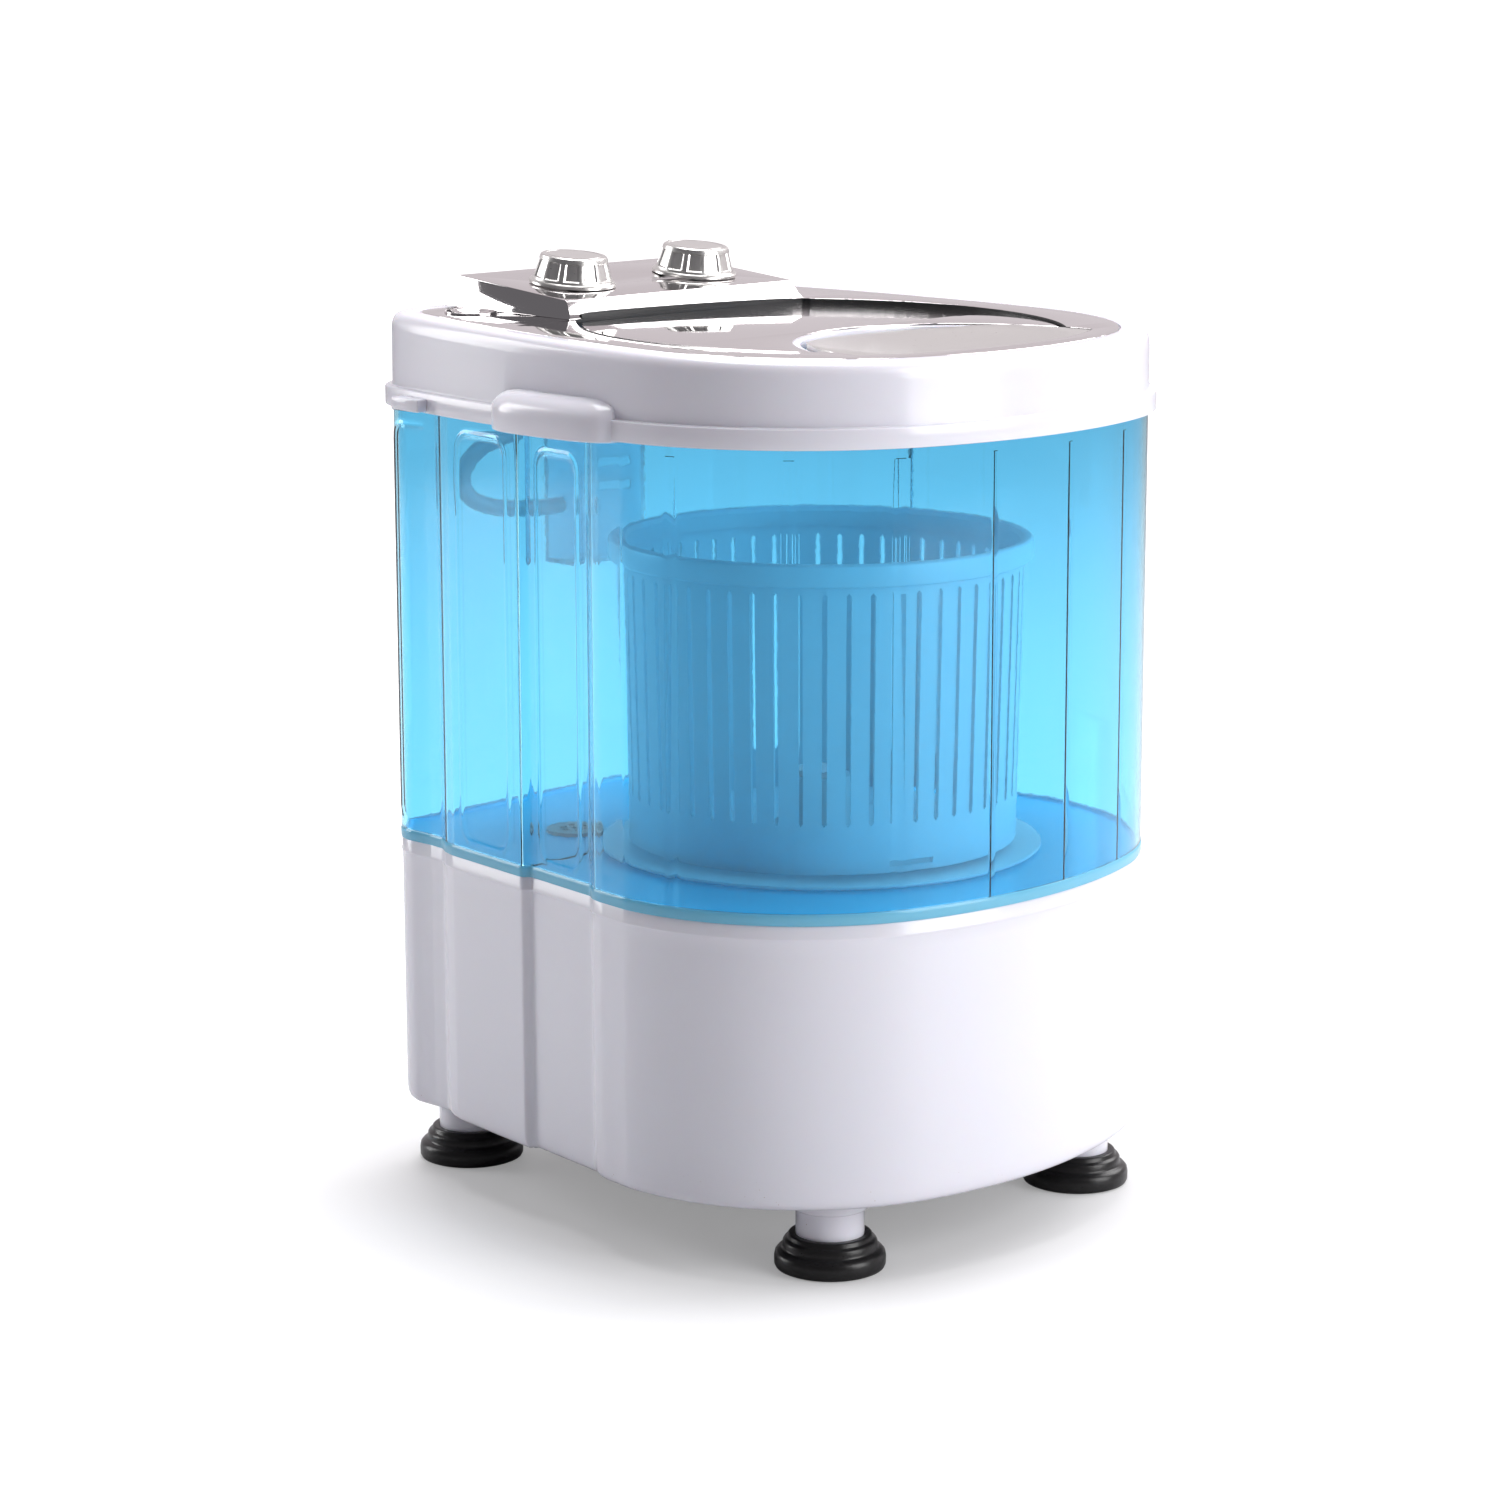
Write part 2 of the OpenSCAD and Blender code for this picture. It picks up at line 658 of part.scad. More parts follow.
module pulley(y, belt_r, bore_r) {
    translate([0, y, 0]) difference() {
        union() {
            rod(0, 0, belt_r + 4, pulley_z, pulley_z + 2);
            rod(0, 0, belt_r - 0.1, pulley_z + 2, pulley_z + pulley_h - 2);
            rod(0, 0, belt_r + 4, pulley_z + pulley_h - 2, pulley_z + pulley_h);
        }
        rod(0, 0, bore_r + 0.02, pulley_z - 1, pulley_z + pulley_h + 1);
        if (belt_r > 40) for (a = [0:60:300]) rotate([0, 0, a])
            rod(belt_r * 0.58, 0, belt_r * 0.18, pulley_z - 1, pulley_z + pulley_h + 1);
    }
}
module drive_pulley() {
    color("dimgray") pulley(axis_back, drive_pulley_r, shaft_r);
}
module motor_pulley() {
    color("silver") pulley(motor_y, motor_pulley_r, 4);
}
function belt_outline(grow) =
    let (big = drive_pulley_r + grow, small = motor_pulley_r + grow, lean = asin((big - small) / belt_centres))
    concat(
        [for (i = [0:20]) let (t = lean + (180 - 2 * lean) * i / 20) [small * cos(t), motor_y + small * sin(t)]],
        [for (i = [0:32]) let (t = 180 - lean + (180 + 2 * lean) * i / 32) [big * cos(t), axis_back + big * sin(t)]]
    );
module drive_belt() {
    low = pulley_z + 2.4;
    high = pulley_z + pulley_h - 2.4;
    color("black") difference() {
        slab(belt_outline(3.2), low, high);
        slab(belt_outline(0.2), low - 1, high + 1);
    }
}
module motor_body() {
    color("gray") difference() {
        union() {
            rod(0, motor_y, 40, 128, 183);
            rod(0, motor_y, 16, 124, 128);
            for (a = [45:90:315]) translate([0, motor_y, 0]) rotate([0, 0, a]) box([36, -8, 172], [52, 8, 183]);
        }
        rod(0, motor_y, 4 + bush_gap, 120, 181);
    }
}
module motor_shaft() {
    color("silver") rod(0, motor_y, 4, pulley_z - 3, 178);
}
module motor_bracket() {
    color("dimgray") difference() {
        box([-52, motor_y - 52, 183], [52, motor_y + 52, seam_z]);
        rod(0, motor_y, 30, 182, seam_z - 3);
        box([-54, motor_y - 38, 187], [54, motor_y + 38, seam_z + 1]);
        rod(0, axis_back, 46.4, 180, seam_z + 1);
        rod(drain[0], drain[1], 15, 180, seam_z + 1);
    }
}
module capacitor_place() {
    translate([92, 92, base_z + 3]) children();
}
module motor_capacitor() {
    color("gray") capacitor_place() cylinder(h = 62, r = 17);
}
module capacitor_clip() {
    color("silver") capacitor_place() difference() {
        union() {
            cylinder(h = 14, r = 19.4);
            translate([-30, -8, 0]) cube([60, 16, 2]);
        }
        translate([0, 0, -1]) cylinder(h = 16, r = 17.4);
    }
}

base_shell();
base_plate();
front_left_foot_stem();
front_right_foot_stem();
back_left_foot_stem();
back_right_foot_stem();
front_left_foot_pad();
front_right_foot_pad();
back_left_foot_pad();
back_right_foot_pad();
base_plate_screws();
tub();
tub_gasket();
overflow_box();
inlet_cup();
inlet_hose();
drain_strainer();
drain_pipe();
drain_socket();
cord_gland();
top_cover();
left_grip();
right_grip();
hose_hook();
cover_screws();
top_panel();
lid_well();
finger_dish();
control_console();
wash_timer();
spin_timer();
wash_timer_shaft();
spin_timer_shaft();
wash_knob();
spin_knob();
lid();
lid_liner();
lid_hinge_brackets();
lid_hinge_pins();
spin_basket();
pulsator();
pulsator_cap();
drive_shaft();
shaft_seal();
bearing_housing();
upper_bearing();
lower_bearing();
drive_pulley();
drive_belt();
motor_pulley();
motor_body();
motor_shaft();
motor_bracket();
motor_capacitor();
capacitor_clip();
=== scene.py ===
import json
import math

import bpy
import bmesh
import numpy as np
from mathutils import Matrix, Vector


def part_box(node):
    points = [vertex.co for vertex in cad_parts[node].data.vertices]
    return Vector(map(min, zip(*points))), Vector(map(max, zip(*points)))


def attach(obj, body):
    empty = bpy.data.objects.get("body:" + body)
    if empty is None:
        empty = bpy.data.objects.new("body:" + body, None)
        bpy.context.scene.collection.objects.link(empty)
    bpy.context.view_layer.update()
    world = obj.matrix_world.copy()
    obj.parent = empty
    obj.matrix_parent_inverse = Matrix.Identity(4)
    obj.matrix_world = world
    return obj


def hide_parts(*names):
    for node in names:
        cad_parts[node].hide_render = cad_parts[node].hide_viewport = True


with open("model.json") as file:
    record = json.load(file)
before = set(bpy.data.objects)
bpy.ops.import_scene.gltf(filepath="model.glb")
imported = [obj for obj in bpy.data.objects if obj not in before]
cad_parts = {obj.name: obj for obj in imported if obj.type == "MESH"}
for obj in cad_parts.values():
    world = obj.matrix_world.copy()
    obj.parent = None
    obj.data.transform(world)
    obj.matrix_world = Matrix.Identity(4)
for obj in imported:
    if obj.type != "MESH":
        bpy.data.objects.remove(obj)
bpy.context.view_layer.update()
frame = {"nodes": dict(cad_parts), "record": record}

mm = 0.001

# camera
shot = {
    "place": (-1.6291, -1.5089, 0.6971),
    "heading": (0.72639, 0.68727),
    "pitch": 11.413,   # degrees below level
    "roll": -0.126,
    "lens": 96.75,
}
pitch = math.radians(shot["pitch"])
look = Vector((shot["heading"][0] * math.cos(pitch), shot["heading"][1] * math.cos(pitch), -math.sin(pitch)))
turn = look.to_track_quat("-Z", "Y").to_matrix().to_4x4() @ Matrix.Rotation(math.radians(shot["roll"]), 4, "Z")
cameraData = bpy.data.cameras.new("camera")
cameraData.lens = shot["lens"]
cameraData.sensor_width = 36
cameraData.clip_end = 200
camera = bpy.data.objects.new("camera", cameraData)
camera.matrix_world = Matrix.Translation(shot["place"]) @ turn
bpy.context.scene.collection.objects.link(camera)
bpy.context.scene.camera = camera
print("camera set")

# inlet hose
hose = {
    "diameter": 0.0096, "length": 0.2813,
    "path": [  # down from the inlet cup, under the deck to the overflow box
        (-109, 142.5, 468.7), (-109, 142.5, 462), (-107, 144, 456), (-99, 149, 452), (-84, 157, 450), (-66, 163, 449),
        (-48, 168, 448.5), (-34, 170, 447), (-24, 171, 441), (-21.5, 171, 434), (-25, 171, 427), (-34, 171, 422),
        (-47, 171, 418.5), (-62, 171, 415.5), (-76, 171, 411), (-86, 171, 403), (-89, 171, 394), (-84, 171, 385),
        (-72, 171, 379), (-52, 171, 375), (-30, 171, 373), (-12.5, 171, 373)],
}
hoseLine = bpy.data.curves.new("inletHose", "CURVE")
hoseLine.dimensions = "3D"
hoseLine.bevel_depth = 1  # times each knot's radius, which also sets the bounds
hoseLine.bevel_resolution = 5
hoseLine.resolution_u = 6
hoseLine.use_fill_caps = True
spline = hoseLine.splines.new("BEZIER")
spline.bezier_points.add(len(hose["path"]) - 1)
for knot, point in zip(spline.bezier_points, hose["path"]):
    knot.co = [v / 1000 for v in point]
    knot.radius = hose["diameter"] / 2
    knot.handle_left_type = knot.handle_right_type = "AUTO"
inletHose = bpy.data.objects.new("inletHose", hoseLine)
bpy.context.scene.collection.objects.link(inletHose)
bpy.context.view_layer.update()
print("hose made")
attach(inletHose, "cabinet")
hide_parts("inlet_hose")

# outlines
cabinet = {
    "depth": 381, "halfWidth": 180.5,
    "frontRadius": 280.5, "sideRadius": 748, "backRadius": 42, "cornerY": -46,
    "bodyInset": 4.5, "bodyBackY": 187, "bodyBackRadius": 26, "bodyBackX": 115.5,
    "sideSteps": [(173, -21), (171, -14), (167, -8), (158, 46), (158, 48), (161.5, 51),
                  (151, 118), (148, 127), (143, 135), (141.5, 147)],
    "axisY": -22, "deckZ": 489.5, "deckTilt": 1.25,
}
frontY = cabinet["frontRadius"] - cabinet["depth"] / 2
cornerDrop = frontY - cabinet["cornerY"]


def cornerRadius(front, half):
    return (front ** 2 - cornerDrop ** 2 - half ** 2) / (2 * (front - half))


def arc(cx, cy, radius, start, end, count):
    return [(cx + radius * math.cos(math.radians(start + (end - start) * i / count)),
             cy + radius * math.sin(math.radians(start + (end - start) * i / count))) for i in range(count + 1)]


def bothHalves(half):
    # drops the repeated point on the middle line
    flipped = [(-x, y) for x, y in reversed(half)]
    return half + [p for p in flipped if abs(p[0]) > 1e-6]


def deckOutline(inset):
    half = cabinet["halfWidth"]
    corner = cornerRadius(cabinet["frontRadius"], half)
    cornerX = half - corner
    meet = math.degrees(math.atan2(cabinet["cornerY"] - frontY, cornerX))
    sideX = half - cabinet["sideRadius"]
    backY = cabinet["depth"] / 2 - cabinet["backRadius"]
    reach = cabinet["sideRadius"] - cabinet["backRadius"]
    sideEnd = math.degrees(math.asin((backY - cabinet["cornerY"]) / reach))
    backX = sideX + reach * math.cos(math.radians(sideEnd))
    points = arc(0, frontY, cabinet["frontRadius"] - inset, -90, meet, 24)
    points += arc(cornerX, cabinet["cornerY"], corner - inset, meet, 0, 36)[1:]
    points += arc(sideX, cabinet["cornerY"], cabinet["sideRadius"] - inset, 0, sideEnd, 44)[1:]
    points += arc(backX, backY, cabinet["backRadius"] - inset, sideEnd, 90, 20)[1:]
    points += [(backX * t, cabinet["depth"] / 2 - inset) for t in (0.75, 0.5, 0.25, 0)]
    return bothHalves(points)


def bodyHalf():
    # right half of the outline, finer where the wall is embossed; the outward normals are worked out below
    half = cabinet["halfWidth"] - cabinet["bodyInset"]
    front = cabinet["frontRadius"] - cabinet["bodyInset"]
    corner = cornerRadius(front, half)
    cornerX = half - corner
    meet = math.degrees(math.atan2(cabinet["cornerY"] - frontY, cornerX))
    points = arc(0, frontY, front, -90, meet, 60)
    points += arc(cornerX, cabinet["cornerY"], corner, meet, 0, 60)[1:]
    steps = [(half, cabinet["cornerY"] + 3)] + cabinet["sideSteps"]
    rounded = []
    for i in range(1, len(steps) - 1):
        a, b, c = Vector(steps[i - 1]), Vector(steps[i]), Vector(steps[i + 1])
        cut = min(1.6, 0.42 * (b - a).length, 0.42 * (c - b).length)
        p, q = b + (a - b).normalized() * cut, b + (c - b).normalized() * cut
        rounded += [tuple(p), tuple(b * 0.5 + (p + q) * 0.25), tuple(q)]
    chain = [steps[0]] + rounded + [steps[-1]]
    for a, b in zip(chain[:-1], chain[1:]):
        count = max(1, round(math.dist(a, b) / 0.9))
        points += [(a[0] + (b[0] - a[0]) * i / count, a[1] + (b[1] - a[1]) * i / count) for i in range(1, count + 1)]
    backX, radius = cabinet["bodyBackX"], cabinet["bodyBackRadius"]
    points += arc(backX, cabinet["bodyBackY"] - radius, radius, 0, 90, 30)
    points += [(backX * t, cabinet["bodyBackY"]) for t in (0.85, 0.7, 0.55, 0.4, 0.3, 0.2, 0.1, 0)]
    return points


bodyPoints = np.array(bothHalves(bodyHalf()))
ahead = np.roll(bodyPoints, -1, axis=0) - bodyPoints
ahead /= np.linalg.norm(ahead, axis=1)[:, None] + 1e-12
behind = np.roll(ahead, 1, axis=0)
bodyNormals = np.stack([ahead[:, 1] + behind[:, 1], -(ahead[:, 0] + behind[:, 0])], axis=1)
bodyNormals /= np.linalg.norm(bodyNormals, axis=1)[:, None]


def bodyRing(inset, z, bump=None):
    push = -inset if bump is None else bump - inset
    flat = bodyPoints + bodyNormals * (np.ones(len(bodyPoints)) * push)[:, None]
    return np.column_stack([flat, np.ones(len(flat)) * z])


def deckTop(y, below=0):
    tilt = math.radians(cabinet["deckTilt"])
    return cabinet["deckZ"] + (y - cabinet["axisY"]) * math.tan(tilt) - below


deckMatrix = (Matrix.Translation((0, cabinet["axisY"] * mm, cabinet["deckZ"] * mm))
              @ Matrix.Rotation(math.radians(cabinet["deckTilt"]), 4, "X")
              @ Matrix.Translation((0, -cabinet["axisY"] * mm, 0)))


# modelling helpers
def deselectAll():
    if bpy.context.object and bpy.context.object.mode != "OBJECT":
        bpy.ops.object.mode_set(mode="OBJECT")
    bpy.ops.object.select_all(action="DESELECT")


def pick(piece):
    deselectAll()
    piece.select_set(True)
    bpy.context.view_layer.objects.active = piece


def editAll(piece):
    pick(piece)
    bpy.ops.object.mode_set(mode="EDIT")
    bpy.ops.mesh.select_all(action="SELECT")


def objectMode():
    bpy.ops.object.mode_set(mode="OBJECT")


def tidyMesh(piece, gap=1e-6, outward=True):
    editAll(piece)
    bpy.ops.mesh.remove_doubles(threshold=gap)
    bpy.ops.mesh.delete_loose()
    if outward:
        bpy.ops.mesh.select_all(action="SELECT")
        bpy.ops.mesh.normals_make_consistent(inside=False)
    objectMode()
    return piece


def loftRings(rings, loop=False, cap=True):
    # a grid wrapped round the rings; loop joins the last ring to the first
    rings = [np.asarray(r, float) * mm for r in rings]
    if loop:
        rings = rings + [rings[0]]
    around, rows = len(rings[0]), len(rings)
    deselectAll()
    bpy.ops.mesh.primitive_grid_add(x_subdivisions=around, y_subdivisions=rows - 1, size=1)
    piece = bpy.context.object
    flat = np.empty(len(piece.data.vertices) * 3)
    piece.data.vertices.foreach_get("co", flat)
    flat = flat.reshape(-1, 3)
    column = np.rint((flat[:, 0] + 0.5) * around).astype(int) % around
    row = np.rint((flat[:, 1] + 0.5) * (rows - 1)).astype(int)
    piece.data.vertices.foreach_set("co", np.stack(rings)[row, column].ravel())
    editAll(piece)
    bpy.ops.mesh.remove_doubles(threshold=1e-7)
    if cap and not loop:
        bpy.ops.mesh.fill_holes(sides=0)
    objectMode()
    return tidyMesh(piece, 1e-7)


def turnProfile(profile, x, y, steps=96):
    # a closed outline of (radius, height) spun round a vertical axis
    deselectAll()
    bpy.ops.mesh.primitive_circle_add(vertices=len(profile), radius=0.01, fill_type="NOTHING")
    piece = bpy.context.object
    for vertex, (radius, z) in zip(piece.data.vertices, profile):
        vertex.co = ((x + radius) * mm, y * mm, z * mm)
    editAll(piece)
    bpy.ops.mesh.spin(steps=steps, angle=2 * math.pi, center=(x * mm, y * mm, 0), axis=(0, 0, 1))
    bpy.ops.mesh.select_all(action="SELECT")
    bpy.ops.mesh.remove_doubles(threshold=1e-6)
    bpy.ops.mesh.dissolve_degenerate(threshold=1e-6)
    objectMode()
    return tidyMesh(piece, 1e-6)


def cutPlate(outer, holes, low, high, edge=0.35):
    # a flat plate with holes and rounded edges, from a filled curve
    curve = bpy.data.curves.new("plate", "CURVE")
    curve.dimensions = "2D"
    curve.fill_mode = "BOTH"
    for loop in [outer] + list(holes):
        spline = curve.splines.new("POLY")
        spline.points.add(len(loop) - 1)
        for point, (x, y) in zip(spline.points, loop):
            point.co = (x * mm, y * mm, 0, 1)
        spline.use_cyclic_u = True
    curve.extrude = ((high - low) / 2 - edge) * mm
    curve.bevel_depth = edge * mm
    curve.bevel_resolution = 2
    curve.offset = -edge * mm
    piece = bpy.data.objects.new("plate", curve)
    bpy.context.scene.collection.objects.link(piece)
    pick(piece)
    bpy.ops.object.convert(target="MESH")
    piece = bpy.context.object
    piece.location.z = (low + high) / 2 * mm
    bpy.ops.object.transform_apply(location=True, rotation=True, scale=True)
    return tidyMesh(piece, 1e-6)


def block(low, high, bevel=0.5, segments=2):
    deselectAll()
    middle = [(a + b) / 2 * mm for a, b in zip(low, high)]
    bpy.ops.mesh.primitive_cube_add(size=1, location=middle)
    piece = bpy.context.object
    piece.scale = [(b - a) * mm for a, b in zip(low, high)]
    bpy.ops.object.transform_apply(location=True, rotation=True, scale=True)
    editAll(piece)
    bpy.ops.mesh.bevel(offset=bevel * mm, segments=segments, affect="EDGES")
    objectMode()
    return piece


def copyNode(node, bevel=0.6, segments=3, angle=30, flatten=1.0):
    # the frame's own shape, merged, with its long flats joined and its edges rounded
    source = frame["nodes"][node]
    mesh = source.data.copy()
    mesh.transform(source.matrix_world)
    piece = bpy.data.objects.new(node + "Copy", mesh)
    bpy.context.scene.collection.objects.link(piece)
    editAll(piece)
    bpy.ops.mesh.remove_doubles(threshold=2e-6)
    bpy.ops.mesh.dissolve_limited(angle_limit=math.radians(flatten))
    objectMode()
    if bevel:
        addModifier(piece, "BEVEL", width=bevel * mm, segments=segments, limit_method="ANGLE",
                    angle_limit=math.radians(angle), use_clamp_overlap=True)
    return piece


def addModifier(piece, kind, **values):
    pick(piece)
    modifier = piece.modifiers.new(kind.lower(), kind)
    for key, value in values.items():
        setattr(modifier, key, value)
    bpy.ops.object.modifier_apply(modifier=modifier.name)
    return piece


def cutAway(piece, cutter):
    addModifier(piece, "BOOLEAN", operation="DIFFERENCE", object=cutter, solver="EXACT")
    bpy.data.objects.remove(cutter)
    return piece


def joinPieces(pieces):
    deselectAll()
    for piece in pieces:
        piece.select_set(True)
    bpy.context.view_layer.objects.active = pieces[0]
    bpy.ops.object.join()
    return bpy.context.object


def place(piece, matrix):
    piece.data.transform(matrix)
    return piece


def finishPiece(piece, name, body, material, smooth=35, stands=()):
    piece.name = name
    piece.data.name = name
    piece.data.materials.clear()
    piece.data.materials.append(material)
    pick(piece)
    bpy.ops.object.transform_apply(location=True, rotation=True, scale=True)
    bpy.ops.object.shade_smooth_by_angle(angle=math.radians(smooth))
    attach(piece, body)
    if stands:
        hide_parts(*stands)
    return piece


# materials
def newGroup(name, inputs, outputs):
    group = bpy.data.node_groups.new(name, "ShaderNodeTree")
    for label, kind, value in inputs:
        socket = group.interface.new_socket(name=label, in_out="INPUT", socket_type=kind)
        if value is not None:
            socket.default_value = value
    for label, kind in outputs:
        group.interface.new_socket(name=label, in_out="OUTPUT", socket_type=kind)
    return group, group.nodes.new("NodeGroupInput"), group.nodes.new("NodeGroupOutput")


def buildGrain():
    # slow change of tone and fine surface grain
    group, given, result = newGroup(
        "mouldGrain",
        [("Vector", "NodeSocketVector", None), ("Scale", "NodeSocketFloat", 8.0),
         ("Fineness", "NodeSocketFloat", 40.0)],
        [("Tone", "NodeSocketFloat"), ("Grain", "NodeSocketFloat")])
    nodes, links = group.nodes, group.links
    slow = nodes.new("ShaderNodeTexNoise")
    slow.inputs["Detail"].default_value = 2
    fine = nodes.new("ShaderNodeTexNoise")
    fine.inputs["Detail"].default_value = 3
    times = nodes.new("ShaderNodeMath")
    times.operation = "MULTIPLY"
    links.new(given.outputs["Vector"], slow.inputs["Vector"])
    links.new(given.outputs["Vector"], fine.inputs["Vector"])
    links.new(given.outputs["Scale"], slow.inputs["Scale"])
    links.new(given.outputs["Scale"], times.inputs[0])
    links.new(given.outputs["Fineness"], times.inputs[1])
    links.new(times.outputs[0], fine.inputs["Scale"])
    links.new(slow.outputs["Fac"], result.inputs["Tone"])
    links.new(fine.outputs["Fac"], result.inputs["Grain"])
    return group


def buildSpecks():
    # sparse dots of dirt, thicker below a height
    group, given, result = newGroup(
        "dirtSpecks",
        [("Vector", "NodeSocketVector", None), ("Scale", "NodeSocketFloat", 300.0), ("Size", "NodeSocketFloat", 0.08),
         ("Fade height", "NodeSocketFloat", 0.06)],
        [("Mask", "NodeSocketFloat")])
    nodes, links = group.nodes, group.links
    cells = nodes.new("ShaderNodeTexVoronoi")
    below = nodes.new("ShaderNodeMath")
    below.operation = "LESS_THAN"
    patch = nodes.new("ShaderNodeTexNoise")
    patch.inputs["Scale"].default_value = 45
    patchy = nodes.new("ShaderNodeMapRange")
    patchy.inputs["From Min"].default_value = 0.52
    patchy.inputs["From Max"].default_value = 0.66
    split = nodes.new("ShaderNodeSeparateXYZ")
    fade = nodes.new("ShaderNodeMapRange")
    fade.inputs["From Min"].default_value = 0.038
    fade.inputs["To Min"].default_value = 1
    fade.inputs["To Max"].default_value = 0
    both = nodes.new("ShaderNodeMath")
    both.operation = "MULTIPLY"
    all3 = nodes.new("ShaderNodeMath")
    all3.operation = "MULTIPLY"
    for node in (cells, patch, split):
        links.new(given.outputs["Vector"], node.inputs[0])
    links.new(given.outputs["Scale"], cells.inputs["Scale"])
    links.new(cells.outputs["Distance"], below.inputs[0])
    links.new(given.outputs["Size"], below.inputs[1])
    links.new(patch.outputs["Fac"], patchy.inputs["Value"])
    links.new(split.outputs["Z"], fade.inputs["Value"])
    links.new(given.outputs["Fade height"], fade.inputs["From Max"])
    links.new(below.outputs[0], both.inputs[0])
    links.new(patchy.outputs["Result"], both.inputs[1])
    links.new(both.outputs[0], all3.inputs[0])
    links.new(fade.outputs["Result"], all3.inputs[1])
    links.new(all3.outputs[0], result.inputs["Mask"])
    return group


grainGroup = buildGrain()
specksGroup = buildSpecks()

finishes = {
    "whitePlastic": {
        "tones": ((0.80, 0.79, 0.86), (0.76, 0.75, 0.83)), "rough": (0.20, 0.27), "scale": 5, "bump": 0.03,
        "specks": (0.30, 0.16, 0.07),
        "sockets": {"Coat Weight": 0.25, "Coat Roughness": 0.08, "Subsurface Weight": 0.06, "Subsurface Scale": 0.01}},
    "tubPlastic": {
        "tones": ((0.36, 0.77, 0.955), (0.33, 0.75, 0.95)), "rough": (0.02, 0.05), "scale": 4, "bump": 0.02,
        "lampTint": (0.74, 0.92, 0.985), "sockets": {"Transmission Weight": 1.0, "IOR": 1.42}},
    "tubSkirt": {
        "tones": ((0.26, 0.72, 0.95), (0.22, 0.68, 0.94)), "rough": (0.08, 0.14), "scale": 4, "bump": 0.02,
        "sockets": {"Transmission Weight": 0.35, "IOR": 1.42}},
    "tubFloor": {
        "tones": ((0.02, 0.66, 0.98), (0.015, 0.60, 0.96)), "rough": (0.10, 0.18), "scale": 4, "bump": 0.03,
        "sockets": {"Transmission Weight": 0.1, "IOR": 1.42}},
    "basketPlastic": {
        "tones": ((0.60, 0.86, 0.98), (0.54, 0.82, 0.96)), "rough": (0.28, 0.36), "scale": 6, "bump": 0.04,
        "lampTint": (0.68, 0.77, 0.81), "sockets": {"Transmission Weight": 0.4, "IOR": 1.4}},
    "palePlastic": {
        "tones": ((0.80, 0.93, 0.98), (0.76, 0.90, 0.97)), "rough": (0.10, 0.18), "scale": 6, "bump": 0.03,
        "lampTint": (0.85, 0.92, 0.95), "sockets": {"Transmission Weight": 0.75, "IOR": 1.4}},
    "mirror": {
        "tones": ((0.80, 0.775, 0.775), (0.77, 0.745, 0.75)), "rough": (0.035, 0.06), "scale": 9, "bump": 0.0,
        "wave": 0.10, "sockets": {"Metallic": 1.0}},
    "satinSilver": {
        "tones": ((0.74, 0.73, 0.71), (0.68, 0.67, 0.655)), "rough": (0.25, 0.34), "scale": 12, "bump": 0.05,
        "sockets": {"Metallic": 1.0}},
    "blackRubber": {
        "tones": ((0.005, 0.005, 0.006), (0.012, 0.011, 0.011)), "rough": (0.24, 0.36), "scale": 20, "bump": 0.10,
        "sockets": {"Specular IOR Level": 0.4}},
    "blackPlastic": {
        "tones": ((0.012, 0.012, 0.013), (0.02, 0.02, 0.022)), "rough": (0.34, 0.45), "scale": 20, "bump": 0.1,
        "sockets": {}},
    "greyPlastic": {
        "tones": ((0.30, 0.31, 0.33), (0.25, 0.26, 0.28)), "rough": (0.40, 0.52), "scale": 15, "bump": 0.12,
        "sockets": {}},
    "steel": {
        "tones": ((0.58, 0.58, 0.59), (0.46, 0.46, 0.47)), "rough": (0.28, 0.42), "scale": 30, "bump": 0.08,
        "sockets": {"Metallic": 1.0}},
    "bearingSteel": {
        "tones": ((0.72, 0.72, 0.73), (0.62, 0.62, 0.63)), "rough": (0.12, 0.2), "scale": 30, "bump": 0.03,
        "sockets": {"Metallic": 1.0}},
    "motorPaint": {
        "tones": ((0.22, 0.23, 0.25), (0.16, 0.17, 0.19)), "rough": (0.38, 0.5), "scale": 18, "bump": 0.2,
        "sockets": {"Coat Weight": 0.1}},
    "hosePlastic": {
        "tones": ((0.72, 0.84, 0.90), (0.66, 0.80, 0.88)), "rough": (0.3, 0.4), "scale": 25, "bump": 0.06,
        "sockets": {"Transmission Weight": 0.5}},
}


